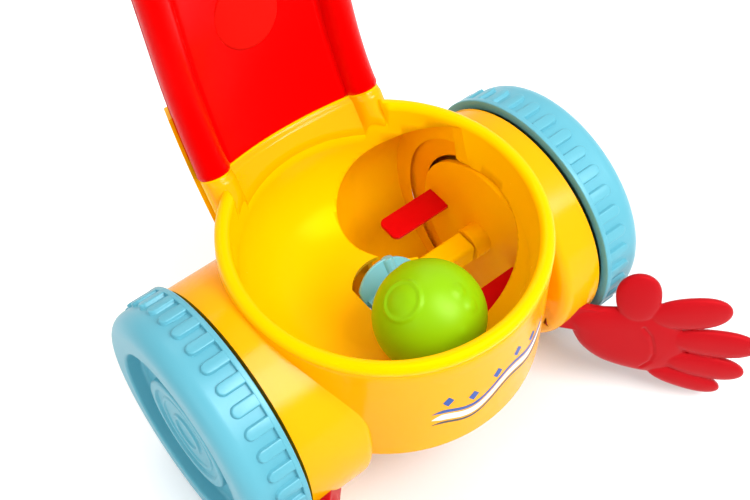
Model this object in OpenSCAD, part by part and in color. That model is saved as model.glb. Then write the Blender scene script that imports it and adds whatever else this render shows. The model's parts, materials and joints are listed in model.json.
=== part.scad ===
// Ball collector push toy: wheels turn a paddle rotor that lifts balls up a lane into a bowl.
// The floor is z = 0, the toy is pushed towards -Y, and +X is the side of the ball lane.

/* [Wheels] */
// rolling radius of a wheel, over its tread lugs
wheel_r = 71; // [66:0.5:84]
// width of a wheel along the axle
wheel_w = 30; // [24:1:40]
// gap between a horn's end wall and the wheel beside it
wheel_gap = 2.6; // [1.5:0.1:6]
// wall of a wheel's rim and web
wheel_wall = 3.4; // [2.4:0.2:5]
// rounding of a wheel's outer shoulder
shoulder_r = 10; // [6:0.5:12]
// radius of the recess in a wheel's outer face
dish_r = 48.5; // [42:0.5:54]
// depth of the recess in a wheel's outer face
dish_d = 9; // [5:0.5:12]
// number of tread lugs
lug_n = 36; // [18:1:48]
// height of a tread lug
lug_h = 1.2; // [0.8:0.1:3]
// width of a tread lug around the wheel
lug_w = 6.4; // [4:0.1:8]
// length of a tread lug along the axle
lug_len = 14.5; // [10:0.5:18]
// width of the raised band that joins the lugs at the wheel's inner edge
lug_inset = 3; // [2:0.5:6]
// radius of the plate in a wheel's middle
cap_r = 32; // [26:0.5:38]
// thickness of the plate in a wheel's middle
cap_t = 6; // [4:0.5:8]

/* [Axle] */
// radius of the steel rod
rod_r = 3; // [2:0.25:4]
// radial clearance of everything that turns on or sits on the rod
rod_fit = 0.05; // [0.02:0.01:0.1]
// outer radius of a horn's bearing bush
bush_r = 8; // [6:0.5:10]
// radius of a wheel's hub and of the rotor's boss
boss_r = 9.5; // [8:0.5:12]
// thickness of a push-on retainer
clip_t = 1.2; // [0.8:0.1:2]

/* [Bowl] */
// outer radius of the bowl's lip
bowl_r = 84; // [78:0.5:92]
// width of the bowl's rounded lip
lip_w = 7.7; // [6:0.1:10]
// height of the lip's middle above the axle
rim_z = 69.6; // [64:0.2:80]
// height of the bowl's floor above the axle
floor_z = 7; // [6:0.5:12]
// rounding between the bowl's floor and its wall
bowl_fillet = 41; // [36:1:50]
// inward lean of the bowl's wall over its height
bowl_draft = 2.3; // [1:0.1:4]
// wall of the bowl
bowl_wall = 3; // [2:0.1:3.4]
// half width of the tongue over the axle
tongue_w = 7; // [5:0.5:8]
// distance of the bowl's centre in front of the axle
bowl_fwd = 1; // [0:0.5:4]

/* [Body] */
// wall of the body's shells
wall = 3; // [2:0.1:4]
// radius of the horns
horn_r = 67; // [63:0.5:69]
// length of a horn beyond the bowl's outer edge
horn_past = 13.4; // [10:0.2:22]
// depth of the left horn's inner end inside the bowl's outer edge
horn_deep = 27; // [20:1:34]
// rounding of the horns' inner edge
horn_round = 6; // [4:0.5:8]
// height of the skirt's lower edge under the axle
skirt_drop = 6; // [0:0.5:10]
// outward lean of the skirt over its height
skirt_flare = 2; // [0:0.5:4]
// height of the joint between the shells under the axle
split_drop = 30; // [26:1:36]
// gap between shells that fit inside each other
seat = 0.2; // [0.1:0.05:0.3]
// distance of the rear feet behind the axle
foot_y = 70; // [64:1:76]
// distance of the rear feet from the middle of the toy
foot_x = 34; // [26:1:42]
// length and width of a rear foot
foot_size = 18; // [12:1:24]

/* [Ball lane] */
// radius of the ball
ball_r = 29.6; // [28:0.2:30.4]
// distance of the lane's middle inside the bowl's outer edge
lane_in = 43; // [40:0.5:46]
// room around a ball in the lane
lane_gap = 2.9; // [1.5:0.1:3.4]
// wall of the lane
lane_wall = 2.5; // [1.6:0.1:3]
// angle behind the lowest point at which the lane starts
lane_from = 24; // [20:1:36]
// distance of the resting ball's middle inside the bowl's outer edge
ball_in = 44; // [42:0.1:48]
// distance of the resting ball to the left of the toy's middle
ball_left = 2.4; // [0:0.1:5]

/* [Rotor] */
// radius of the rotor disc
disc_r = 47.8; // [44:0.2:50]
// thickness of the rotor disc
disc_t = 3; // [2:0.2:4]
// slit between the rotor disc and the wall around it
disc_slit = 0.6; // [0.5:0.1:1.5]
// distance of a paddle's inner edge from the axle
paddle_in = 27; // [22:0.5:32]
// distance of a paddle's outer edge from the axle
paddle_out = 43; // [38:0.5:45]
// length of a paddle along the axle
paddle_len = 39; // [30:1:46]
// thickness of a paddle
paddle_t = 2.6; // [1.6:0.1:4]
// rounding of a paddle's free corners
paddle_round = 4; // [2:0.5:6]
// radius of the vaned hub in the bowl's floor
hub_r = 21.5; // [18:0.5:22]
// distance of the hub's middle to the left of the lane's middle
hub_in = 33; // [31:0.5:36]
// thickness of the hub's vanes
hub_vane = 2.8; // [2:0.2:5]
// half length of the hub along the axle
hub_half = 17.5; // [14:0.5:20]

/* [Handle] */
// radius of the bend at the handle's foot
bend_r = 200; // [160:5:260]
// slope of the handle's lower end
bend_from = 57; // [52:1:62]
// slope of the straight part of the handle
bend_to = 75; // [70:1:80]
// length of the straight part of the handle
handle_len = 330; // [240:5:420]
// half width of the handle
handle_w = 56; // [50:0.5:60]
// radius of the handle's rails
rail_r = 8.5; // [7:0.25:10]
// hollow of the panel between the rails
panel_sag = 7.5; // [4:0.5:10]
// wall of the handle's shells
handle_wall = 2.5; // [1.8:0.1:3]
// depth of the handle's rear shell
back_d = 17; // [14:0.5:22]
// half width of the rear shell's flat back
back_w = 49; // [44:0.5:53]
// length of the finger opening under the grip
grip_gap = 86; // [70:1:110]
// radius of the grip bar
grip_r = 12; // [9:0.5:14]
// wall of the neck around the handle
neck_wall = 3; // [2:0.1:4]
// slope of the handle where the neck's collar ends
neck_top = 66.5; // [65:0.5:73]

/* [Hands] */
// distance of a wrist inside its horn's end
wrist_in = 13.1; // [8:0.5:18]
// distance of a wrist in front of the axle
wrist_y = 66.5; // [62:0.5:72]
// distance of a wrist under the axle
wrist_z = 18; // [12:0.5:24]
// outward angle of a hand
hand_yaw = 46; // [40:1:52]
// backward lean of a hand
hand_lean = 15; // [8:1:22]
// thickness of a hand
hand_t = 5.6; // [3:0.2:6]
// downward tilt of a hand's fingers
hand_dip = 5; // [0:1:8]
// reach of a hand from its wrist to the longest fingertip
hand_len = 105; // [92:1:116]

/* [Screws] */
// radius of a screw's shank
screw_r = 1.6; // [1.2:0.1:2]
// radius of a screw's head
screw_head_r = 3.2; // [2.6:0.1:4]
// height of a screw's head
screw_head_t = 2; // [1.4:0.1:3]
// length of a screw under its head
screw_len = 14; // [10:0.5:18]

/* [Hidden] */
$fn = 96;
big = 600;
foot_in = 5.3;
foot_rise = 3.5;
disc_gap = 0.8;
lane_over = 0.7;
clip_wall = 2;
neck_screw_in = 14;
slot_past = 1;
foot_up = 8;
pilot_fit = 0.1;
screw_in = 9;
skirt_down = 60;
skirt_over = 80;
neck_side = 1;
collar_lap = 2;
front_cut = 20;
panel_cut = 4;
neck_rib = 4;
lane_long = 200;
neck_through = 40;
hole_fit = 0.2;
lane_x = bowl_r - lane_in;
horn_end = bowl_r + horn_past;
left_horn_in = bowl_r - horn_deep;
hub_x = lane_x - hub_in;
ball_fwd = bowl_r - ball_in;
wrist_x = horn_end - wrist_in;
hub_gap = 0.6;
close_seat = 0.05;
hub_turn = 36;
hub_rib = 5;
tongue_round = 2.5;
wheel_in = horn_end + wheel_gap;
tread_r = wheel_r - lug_h;
lug_step = 0.15;
wheel_out = wheel_in + wheel_w;
web_x = wheel_out - dish_d - wheel_wall;
ring_r = wheel_r - ball_r;
lane_r = ball_r + lane_gap;
disc_x = lane_x + ball_r + disc_gap;
lane_end = disc_x + lane_over;
hole_r = disc_r + disc_slit;
lip_r = lip_w / 2;
lip_mid = bowl_r - lip_r;
wall_top_r = bowl_r - lip_w;
wall_low_r = wall_top_r - bowl_draft;
fillet_z = floor_z + bowl_fillet;
flat_r = wall_low_r - bowl_fillet;
skirt_top = rim_z - lip_r;
skirt_low_r = bowl_r + skirt_flare;
right_horn_in = lane_end;
foot_point_y = bowl_r - bowl_fwd - foot_in;
foot_point_z = rim_z + foot_rise;
bend_y = foot_point_y - bend_r * sin(bend_from);
bend_z = foot_point_z + bend_r * cos(bend_from);
neck_from = bend_from - 15;
ridge_from = bend_from - 10;
rail_x = handle_w - rail_r;
groove_x = rail_x - rail_r;
panel_r = (groove_x * groove_x + panel_sag * panel_sag) / (2 * panel_sag);
panel_mid = panel_sag - panel_r;
neck_out = seat + neck_wall;
arm_len = handle_len - grip_gap;
clip_r = boss_r + clip_wall;
rail_leg = 3;
seam_h = 0.1;
seam_len = 0.4;
neck_screw_x = back_w - neck_screw_in;
lead = 0.3;
slot_from = disc_x - paddle_len - slot_past;
tongue_from = hub_x + hub_half + 2 * hub_gap;
foot_top = wheel_r - foot_up;
pilot_r = screw_r - pilot_fit;
screw_at_x = horn_end - wall - screw_in;
screw_at_y = 38;
hand_fwd = 1.5;
hand_k = hand_len / 105;
collar_in = 6;
ring_a = [52, -16.5];
ring_b = [102.5, -21.2];
ring_w = 8;
tip_k = 0.68;
ring_c = hand_k * (ring_b - (ring_b - ring_a) * tip_k * ring_w / norm(ring_b - ring_a));
reach_along = sin(hand_yaw) * cos(hand_dip);
reach_up = sin(hand_lean) * cos(hand_yaw) - cos(hand_lean) * sin(hand_dip) * sin(hand_yaw);
reach_front = cos(hand_lean) * cos(hand_yaw) + sin(hand_lean) * sin(hand_dip) * sin(hand_yaw);
front_y = -wrist_y - reach_along * ring_c[0] + reach_up * ring_c[1]
          - hand_k * tip_k * ring_w * norm([reach_along, reach_up]) - reach_front * hand_fwd;
rear_y = bend_y + (bend_r + back_d) * sin(bend_to) + handle_len * cos(bend_to);
axle_y = -(front_y + rear_y) / 2;

// places what is drawn around the axle in the toy's own frame
module at_axle() {
    translate([0, axle_y, wheel_r]) children();
}

// turns a shape made around Z so that it lies around X, angle 0 down and 90 to the rear
module about_x() {
    rotate([0, 90, 0]) children();
}

// solid of revolution around the axle, from a profile of radius and place along the axle
module spin() {
    about_x() rotate_extrude() children();
}

// round bar along the axle
module bar(r, from, to) {
    about_x() translate([0, 0, from]) cylinder(r = r, h = to - from);
}

// bowl's outline, grown outwards by g, closed up to the height top
module bowl_2d(g, top) {
    intersection() {
        union() {
            polygon([[0, floor_z - g], [flat_r, floor_z - g], [flat_r, fillet_z], [wall_low_r + g, fillet_z],
                     [wall_top_r + g, rim_z], [wall_top_r + g, top], [0, top]]);
            translate([flat_r, fillet_z]) circle(r = bowl_fillet + g);
        }
        translate([0, floor_z - g - 1]) square([big, top - floor_z + g + 1]);
    }
}

// space inside the bowl and its wall, with a margin m around it
module bowl_space(m) {
    translate([0, -bowl_fwd, 0]) rotate_extrude() bowl_2d(bowl_wall + m, rim_z + 30);
}

// ring that the bowl's lip takes up, with a margin m around it
module lip_space(m) {
    translate([0, -bowl_fwd, 0]) rotate_extrude() translate([lip_mid, rim_z]) circle(r = lip_r + m);
}

// outline of the ball lane, grown by g
module lane_2d(g) {
    translate([ring_r, lane_x]) circle(r = lane_r + g);
    translate([ring_r - lane_r - g, lane_x]) square([2 * (lane_r + g), lane_end - lane_x + g]);
}

// space of the ball lane between two angles
module lane_space(g, from, to) {
    about_x() rotate([0, 0, from]) rotate_extrude(angle = to - from) lane_2d(g);
}

// plan of the hub's vanes, round with flat ends, grown by g
module hub_2d(g) {
    intersection() {
        circle(r = hub_r + g);
        square([2 * (hub_half + g), big], center = true);
    }
}

// outline across the tongue, round at its upper corners
module tongue_2d() {
    translate([-tongue_w, -rod_r - 3]) square([2 * tongue_w, floor_z + rod_r + 3 - tongue_round]);
    translate([tongue_round - tongue_w, -rod_r - 3]) {
        square([2 * (tongue_w - tongue_round), floor_z + rod_r + 3]);
    }
    for (s = [-1, 1]) translate([s * (tongue_w - tongue_round), floor_z - tongue_round]) {
        circle(r = tongue_round);
    }
}

// bowl with its lip, its window to the lane and the tongue over the axle
module bowl() {
    color([1, 0.84, 0])
    at_axle() difference() {
        union() {
            difference() {
                translate([0, -bowl_fwd, 0]) rotate_extrude() union() {
                    difference() {
                        bowl_2d(bowl_wall, rim_z);
                        bowl_2d(0, rim_z + 1);
                    }
                    translate([lip_mid, rim_z]) circle(r = lip_r);
                }
                lane_space(0, 60, 190);
                bar(hole_r, slot_from, disc_x + disc_t + disc_slit);
                translate([hub_x, 0, floor_z - bowl_wall - 5]) linear_extrude(height = 10 + bowl_wall) {
                    hub_2d(hub_gap);
                }
            }
            translate([tongue_from, 0, 0]) rotate([90, 0, 90]) {
                linear_extrude(height = disc_x - 11 - tongue_from) tongue_2d();
            }
        }
        bar(rod_r + rod_fit, 0, big);
    }
}

// outline of a horn that starts at the place x_in, grown by g
module horn_2d(x_in, g) {
    translate([0, x_in + horn_round]) square([horn_r + g, horn_end - x_in - horn_round]);
    translate([0, x_in - g]) square([horn_r - horn_round, horn_round + g + 1]);
    translate([horn_r - horn_round, x_in + horn_round]) circle(r = horn_round + g);
}

// one horn's tube with its end wall, drawn on the right, from the place x_in outwards
module horn(x_in) {
    spin() difference() {
        horn_2d(x_in, 0);
        translate([-1, x_in + wall]) square([horn_r - wall + 1, horn_end - x_in - 2 * wall]);
    }
}

// posts for the body's screws, drawn on the right
module posts(low, high, r) {
    for (s = [-1, 1]) {
        translate([screw_at_x, s * screw_at_y, low]) cylinder(r = r, h = high - low);
    }
}

// both horns with their posts, still whole
module horns() {
    difference() {
        union() {
            mirror([1, 0, 0]) horn(left_horn_in);
            horn(right_horn_in);
            for (m = [0, 1]) mirror([m, 0, 0]) intersection() {
                union() {
                    posts(-horn_r, -split_drop + 18, 5);
                    for (s = [-1, 1]) {
                        translate([screw_at_x, s * screw_at_y - 2, -horn_r]) {
                            cube([horn_end - wall - screw_at_x + 1, 4, horn_r - split_drop + 18]);
                        }
                    }
                }
                bar(horn_r - 1, 0, horn_end - 1);
            }
        }
        bar(hole_r, 0, right_horn_in + wall + 1);
        bar(rod_r + 3, -horn_end + wall + 1, 0);
        bar(bush_r, -horn_end - 1, -horn_end + wall + 1);
        bar(bush_r, horn_end - wall - 1, horn_end + 1);
        for (m = [0, 1]) mirror([m, 0, 0]) {
            posts(-split_drop - 1, -split_drop + 14, pilot_r);
            posts(-big, -split_drop + 1, screw_r + 0.2);
            posts(-big, -split_drop - screw_len + 10, screw_head_r + 0.3);
        }
    }
}

// outlines across the handle, depth from the bend's middle against width
module back_2d(g, from) {
    polygon([[bend_r + from, -handle_w - g], [bend_r + back_d + g, -back_w - g],
             [bend_r + back_d + g, back_w + g], [bend_r + from, handle_w + g]]);
}

// rails as round bars of radius r, cut off at the depth leg
module rails_2d(r, leg) {
    for (s = [-1, 1]) intersection() {
        translate([bend_r, s * rail_x]) circle(r = r);
        translate([bend_r - 2 * rail_r, -big / 2]) square([2 * rail_r + leg, big]);
    }
}

// hollow rail on the side s, all its faces grown by g
module tube_2d(s, g) {
    intersection() {
        difference() {
            translate([bend_r, s * rail_x]) circle(r = rail_r + g);
            translate([bend_r, s * rail_x]) circle(r = rail_r - handle_wall - g);
        }
        translate([bend_r - 2 * rail_r, -big / 2]) square([2 * rail_r + rail_leg + g, big]);
    }
}

// hollow panel between the rails, both faces grown by g
module panel_2d(g) {
    intersection() {
        difference() {
            translate([bend_r + panel_mid, 0]) circle(r = panel_r + handle_wall + g);
            translate([bend_r + panel_mid, 0]) circle(r = panel_r - g);
        }
        translate([bend_r - 3, -groove_x - 1.2 - g]) square([panel_sag + 12, 2 * (groove_x + 1.2 + g)]);
    }
}

// carries an outline along the bend at the handle's foot
module along_bend(from, to) {
    translate([0, bend_y, bend_z]) about_x() rotate([0, 0, from]) {
        rotate_extrude(angle = to - from) children();
    }
}

// carries an outline along the straight part of the handle
module along_straight(from, to) {
    translate([0, bend_y, bend_z]) about_x() rotate([0, 0, bend_to]) rotate([90, 0, 0]) {
        translate([0, 0, -to]) linear_extrude(height = to - from) children();
    }
}

// puts a shape on the handle where its slope is a, s further along: X is depth, Y length, Z width
module on_handle(a, s) {
    translate([0, bend_y, bend_z]) about_x() rotate([0, 0, a]) translate([bend_r, s, 0]) children();
}

// outer body: skirt, upper part of the horns, neck and collar
module body_shell() {
    color([1, 0.84, 0])
    at_axle() difference() {
        union() {
            intersection() {
                horns();
                translate([-big / 2, -big / 2, -split_drop]) cube(big);
            }
            difference() {
                translate([0, -bowl_fwd, 0]) rotate_extrude() polygon([
                    [bowl_r - wall, skirt_top], [bowl_r, skirt_top],
                    [skirt_low_r, -skirt_drop], [skirt_low_r - wall, -skirt_drop]]);
                bar(horn_r - wall, -big, -left_horn_in - wall);
                bar(horn_r - wall, right_horn_in, big);
            }
        }
        bowl_space(seat);
        lip_space(seat);
        bar(hole_r, 0, right_horn_in + 1);
        lane_space(lane_wall + seat, 0, 200);
        wrist_slots();
    }
}

// solid under the skirt's outer face and the lip
module skirt_solid() {
    translate([0, -bowl_fwd, 0]) rotate_extrude() polygon([[0, -skirt_down], [skirt_low_r, -skirt_down],
        [skirt_low_r, -skirt_drop], [bowl_r, skirt_top],
        [bowl_r, rim_z + skirt_over], [0, rim_z + skirt_over]]);
}

// outline across the neck's body
module neck_2d() {
    polygon([[bend_r + collar_in, -handle_w - neck_side], [bend_r + back_d + neck_out, -back_w - neck_out],
             [bend_r + back_d + neck_out, back_w + neck_out], [bend_r + collar_in, handle_w + neck_side]]);
    translate([bend_r, -rail_x]) square([collar_in + collar_lap, 2 * rail_x]);
}

// neck behind the bowl: ridges that carry on the rails, and a collar around the handle's foot
module neck() {
    color([1, 0.84, 0])
    at_axle() difference() {
        union() {
            along_bend(neck_from, neck_top) neck_2d();
            along_bend(ridge_from, bend_from - lead) rails_2d(rail_r, rail_r);
        }
        along_bend(bend_from - lead, neck_top + 1) polygon([
            [bend_r - front_cut, -handle_w - seat], [bend_r + rail_leg, -handle_w - seat],
            [bend_r + back_d + seat, -back_w - seat], [bend_r + back_d + seat, back_w + seat],
            [bend_r + rail_leg, handle_w + seat], [bend_r - front_cut, handle_w + seat]]);
        along_bend(neck_from - 2, bend_from) intersection() {
            translate([bend_r + panel_mid, 0]) circle(r = panel_r);
            translate([bend_r - panel_cut, -groove_x]) square([panel_sag + 2 * panel_cut, 2 * groove_x]);
        }
        along_bend(neck_from - 2, bend_from - 2) {
            translate([bend_r + panel_sag + neck_wall, neck_rib - back_w]) {
                square([back_d - panel_sag - neck_wall, 2 * (back_w - neck_rib)]);
            }
        }
        skirt_solid();
        lane_space(lane_wall + seat, 0, lane_long);
        neck_screw_at() cylinder(r = screw_r + hole_fit, h = neck_through, center = true);
    }
}

// places of the screws through the collar, pointing forward
module neck_screw_at() {
    for (s = [-1, 1]) on_handle(neck_top - 5, 0) translate([back_d + neck_out, 0, s * neck_screw_x]) {
        rotate([0, -90, 0]) children();
    }
}

// places of the screws through the rear shell, pointing forward
module handle_screw_at() {
    for (s = [-1, 1]) for (p = [30, 140, arm_len + 20]) on_handle(bend_to, p) {
        translate([back_d, 0, s * rail_x]) rotate([0, -90, 0]) children();
    }
}

// lower body: lower part of the horns, underside plate, apron, ball guide and rear feet
module base_pan() {
    color([0.98, 0.8, 0])
    at_axle() difference() {
        union() {
            intersection() {
                horns();
                translate([-big / 2, -big / 2, -split_drop - big]) cube(big);
            }
            difference() {
                union() {
                    apron();
                    underside();
                    side_web();
                }
                bar(horn_r - wall, -big, -left_horn_in - wall);
                bar(horn_r - wall, right_horn_in, big);
                intersection() {
                    bar(horn_r + seat, -big, -left_horn_in + seat);
                    translate([-big / 2, -big / 2, -split_drop]) cube(big);
                }
            }
        }
        lane_space(lane_wall + seat, -10, 200);
    }
}

module apron() {
    intersection() {
        translate([0, -bowl_fwd, 0]) rotate_extrude() polygon([
            [skirt_low_r - wall, -skirt_drop], [skirt_low_r, -skirt_drop],
            [skirt_low_r, -foot_top], [skirt_low_r - wall, -foot_top]]);
        translate([-left_horn_in - wall, 20, -big / 2]) {
            cube([left_horn_in + right_horn_in + wall + 8, big, big]);
        }
    }
}

// web that ties the right horn to the underside plate
module side_web() {
    translate([right_horn_in - 20, 50, -foot_top]) cube([34, 8, wall]);
    translate([right_horn_in + 8, 36, -foot_top]) cube([wall, 22, foot_top - split_drop - 4]);
}

module underside() {
    translate([0, 0, -foot_top]) linear_extrude(height = wall) underside_2d();
    intersection() {
        translate([0, 0, -foot_top]) linear_extrude(height = foot_top - skirt_drop - 1) guide_2d();
        translate([0, -bowl_fwd, -big / 2]) cylinder(r = skirt_low_r - wall / 2, h = big);
    }
    for (s = [-1, 1]) {
        translate([s * foot_x - foot_size / 2, foot_y - foot_size / 2, -wheel_r]) {
            cube([foot_size, foot_size - 4, wheel_r - foot_top + wall]);
        }
    }
}

// plan of the plate under the rear and the left of the bowl
module underside_2d() {
    intersection() {
        translate([0, -bowl_fwd]) circle(r = skirt_low_r - wall / 2);
        polygon([[-left_horn_in - wall, -30], [-left_horn_in, -30], [2, 34], [2, 50],
                 [right_horn_in + wall, 50], [right_horn_in + wall, big], [-left_horn_in - wall, big]]);
    }
}

// plan of the wall that leads balls from the left to the lane
module guide_2d() {
    polygon([[-left_horn_in - wall, -30], [-left_horn_in, -30], [2, 34], [2, 50], [2 - wall, 50],
             [2 - wall, 35], [-left_horn_in - wall, -27]]);
}

// curved lane wall behind and under the bowl
module ball_scroll() {
    color([0.95, 0.66, 0])
    at_axle() difference() {
        about_x() rotate([0, 0, lane_from]) rotate_extrude(angle = 160 - lane_from) difference() {
            lane_2d(lane_wall);
            lane_2d(0);
            square([hub_r + 3, big]);
        }
        bowl_space(seat);
        lip_space(seat);
        spin() horn_2d(right_horn_in, close_seat);
    }
}

// round rod with a wheel pressed on each end
module axle_rod() {
    color([0.72, 0.73, 0.75])
    at_axle() bar(rod_r, -web_x - wheel_wall - clip_t - 1, web_x + wheel_wall + clip_t + 1);
}

module bush() {
    spin() difference() {
        union() {
            translate([0, horn_end - wall - 5]) square([bush_r, wall + 5]);
            translate([0, horn_end - wall - 7]) square([bush_r + 2.5, 7]);
        }
        square([rod_r + rod_fit, big]);
    }
}

module left_bush() {
    color([0.93, 0.93, 0.9])
    at_axle() mirror([1, 0, 0]) bush();
}

module right_bush() {
    color([0.93, 0.93, 0.9])
    at_axle() bush();
}

// one wheel, drawn on the right
module wheel() {
    spin() difference() {
        union() {
            translate([0, wheel_in]) square([tread_r, wheel_w - shoulder_r]);
            translate([0, wheel_in]) square([wheel_r, lug_inset]);
            translate([0, wheel_in]) square([tread_r - shoulder_r, wheel_w]);
            translate([tread_r - shoulder_r, wheel_out - shoulder_r]) circle(r = shoulder_r);
        }
        translate([boss_r, wheel_in - 1]) square([tread_r - wheel_wall - boss_r, web_x - wheel_in + 1]);
        translate([dish_r + wheel_wall, web_x - 1]) {
            square([tread_r - shoulder_r + 2 - dish_r - wheel_wall, dish_d + 1]);
        }
        translate([-1, web_x + wheel_wall]) square([dish_r + 1, big]);
        translate([-1, wheel_in - 1]) square([rod_r + rod_fit + 1, big]);
    }
    for (i = [0 : lug_n - 1]) rotate([i * 360 / lug_n, 0, 0]) lug();
}

// one tread lug: a tongue with a round outer end, standing on the tread
module lug() {
    intersection() {
        translate([wheel_in + lug_inset - 1, 0, tread_r - 2]) linear_extrude(height = 6) {
            translate([0, -lug_w / 2]) square([lug_len - lug_w / 2, lug_w]);
            translate([lug_len - lug_w / 2, 0]) circle(r = lug_w / 2, $fn = 32);
        }
        bar(wheel_r - lug_step, wheel_in + 0.5, wheel_out);
    }
}

module left_wheel() {
    color([0.42, 0.81, 0.9])
    at_axle() mirror([1, 0, 0]) wheel();
}

module right_wheel() {
    color([0.42, 0.81, 0.9])
    at_axle() wheel();
}

// plate in a wheel's middle, hollow behind for the rod's end
module cap() {
    low = web_x + wheel_wall;
    spin() difference() {
        union() {
            translate([0, low]) square([cap_r, cap_t - 2]);
            translate([0, low]) square([cap_r - 2, cap_t]);
            translate([cap_r - 2, low + cap_t - 2]) circle(r = 2);
        }
        translate([-1, low - 1]) square([clip_r + 1.5, clip_t + 2.6]);
        translate([cap_r - 5.6, low + cap_t - 1]) square([1.6, 2]);
    }
}

module left_cap() {
    color([0.42, 0.81, 0.9])
    at_axle() mirror([1, 0, 0]) cap();
}

module right_cap() {
    color([0.42, 0.81, 0.9])
    at_axle() cap();
}

module axle_clips() {
    color([0.6, 0.61, 0.63])
    at_axle() for (m = [0, 1]) mirror([m, 0, 0]) spin() difference() {
        translate([0, web_x + wheel_wall]) square([clip_r, clip_t]);
        square([rod_r + rod_fit, big]);
    }
}

// disc in the lane's right wall, with the boss that sits on the rod
module rotor_disc() {
    color([0.95, 0.7, 0])
    at_axle() difference() {
        spin() difference() {
            union() {
                translate([0, disc_x]) square([disc_r, disc_t]);
                translate([0, disc_x - 10]) square([boss_r, 10 + disc_t + 8]);
            }
            square([rod_r + rod_fit, big]);
        }
        for (a = [0, 180]) rotate([a, 0, 0]) paddle_root(0);
    }
}

// foot of a paddle in its slot in the rotor disc, drawn at the rear
module paddle_root(g) {
    translate([disc_x - 1, paddle_in + 3 - g, -paddle_t / 2 - g]) {
        cube([disc_t + 2, paddle_out - paddle_in - 6 + 2 * g, paddle_t + 2 * g]);
    }
}

// flat paddle with round free corners, drawn at the rear
module paddle() {
    free = disc_x - paddle_len;
    wide = paddle_out - paddle_in;
    translate([0, 0, -paddle_t / 2]) linear_extrude(height = paddle_t) {
        translate([free + paddle_round, paddle_in]) square([paddle_len - paddle_round, wide]);
        translate([free, paddle_in + paddle_round]) square([paddle_len, wide - 2 * paddle_round]);
        for (y = [paddle_in + paddle_round, paddle_out - paddle_round]) {
            translate([free + paddle_round, y]) circle(r = paddle_round, $fn = 48);
        }
        translate([disc_x - 1, paddle_in + 3]) square([disc_t + 1, wide - 6]);
    }
}

module rear_paddle() {
    color([0.9, 0.05, 0.05])
    at_axle() paddle();
}

module front_paddle() {
    color([0.9, 0.05, 0.05])
    at_axle() rotate([180, 0, 0]) paddle();
}

// hub with crossed vanes on a sleeve, and a round rib up the middle of each
module drive_hub() {
    color([0.5, 0.82, 0.88])
    at_axle() difference() {
        translate([hub_x, 0, 0]) rotate([-hub_turn, 0, 0]) union() {
            for (a = [0, 90, 180, 270]) rotate([a, 0, 0]) {
                translate([hub_rib, 0, 0]) cylinder(r = hub_vane, h = hub_r - hub_gap);
            }
            for (a = [0, 90]) rotate([90 + a, 0, 0]) {
                translate([0, 0, -hub_vane / 2]) linear_extrude(height = hub_vane) hub_2d(0);
            }
            bar(rod_r + 3, -hub_half + 2, hub_half - 2);
        }
        bar(rod_r + rod_fit, -big / 2, big / 2);
    }
}

module ball() {
    color([0.6, 0.8, 0])
    at_axle() translate([-ball_left, -ball_fwd, fillet_z - ball_seat_z() + lead]) sphere(r = ball_r);
}

// depth of the resting ball's middle under the centre of the bowl's rounding
function ball_seat_z() = let (o = max(0, ball_fwd - bowl_fwd - flat_r), d = bowl_fillet - ball_r)
    sqrt(d * d - o * o);

// front shell of the handle: rails and hollow panel, open under the grip
module handle_front() {
    color([0.93, 0.02, 0.02])
    at_axle() difference() {
        union() {
            along_bend(bend_from, bend_to) union() {
                tube_2d(-1, 0);
                tube_2d(1, 0);
                panel_2d(0);
            }
            along_straight(-seam_len, 2 * seam_len) union() {
                tube_2d(-1, seam_h);
                tube_2d(1, seam_h);
                panel_2d(seam_h);
            }
            along_straight(seam_len, handle_len) union() {
                tube_2d(-1, 0);
                tube_2d(1, 0);
            }
            along_straight(seam_len, arm_len) panel_2d(0);
            along_straight(handle_len - handle_wall, handle_len) rails_2d(rail_r - handle_wall, rail_leg);
            along_bend(bend_from, bend_from + 0.8) rails_2d(rail_r - handle_wall, rail_leg);
            intersection() {
                handle_screw_at() cylinder(r = 4, h = big);
                along_straight(0, handle_len) rails_2d(rail_r - 1, rail_leg);
            }
        }
        handle_screw_at() cylinder(r = pilot_r, h = screw_len + 1);
    }
}

// rear shell of the handle
module handle_back() {
    color([0.85, 0.02, 0.02])
    at_axle() difference() {
        union() {
            along_bend(bend_from + 3, bend_to) shell_2d();
            along_straight(-0.1, arm_len) shell_2d();
            along_straight(arm_len - handle_wall, arm_len) difference() {
                back_2d(0, rail_leg);
                translate([bend_r + panel_mid, 0]) circle(r = panel_r + handle_wall + seat);
            }
            along_straight(arm_len - 0.1, handle_len) intersection() {
                back_2d(0, rail_leg);
                union() {
                    translate([bend_r, groove_x]) square([big, big]);
                    translate([bend_r, -groove_x - big]) square([big, big]);
                }
            }
            neck_screw_at() translate([0, 0, neck_out]) cylinder(r = 4, h = 9);
            intersection() {
                handle_screw_at() cylinder(r = 4, h = big);
                along_straight(0, handle_len) back_2d(0, rail_leg);
            }
        }
        handle_screw_at() cylinder(r = screw_r + 0.2, h = 40, center = true);
        neck_screw_at() cylinder(r = pilot_r, h = screw_len + 1);
    }
}

module shell_2d() {
    difference() {
        back_2d(0, rail_leg);
        polygon([[bend_r, -handle_w + handle_wall], [bend_r + back_d - handle_wall, -back_w + handle_wall],
                 [bend_r + back_d - handle_wall, back_w - handle_wall], [bend_r, handle_w - handle_wall]]);
    }
}

// round bar between the arms at the handle's top
module grip_bar() {
    color([1, 0.84, 0])
    at_axle() on_handle(bend_to, handle_len - grip_r - 2) {
        translate([back_d - grip_r - 0.5, 0, -groove_x]) cylinder(r = grip_r, h = 2 * groove_x);
    }
}

// one screw with its head at the origin, pointing along +Z
module screw() {
    translate([0, 0, -screw_head_t]) cylinder(r = screw_head_r, h = screw_head_t);
    cylinder(r = pilot_r - 0.05, h = screw_len);
}

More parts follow.
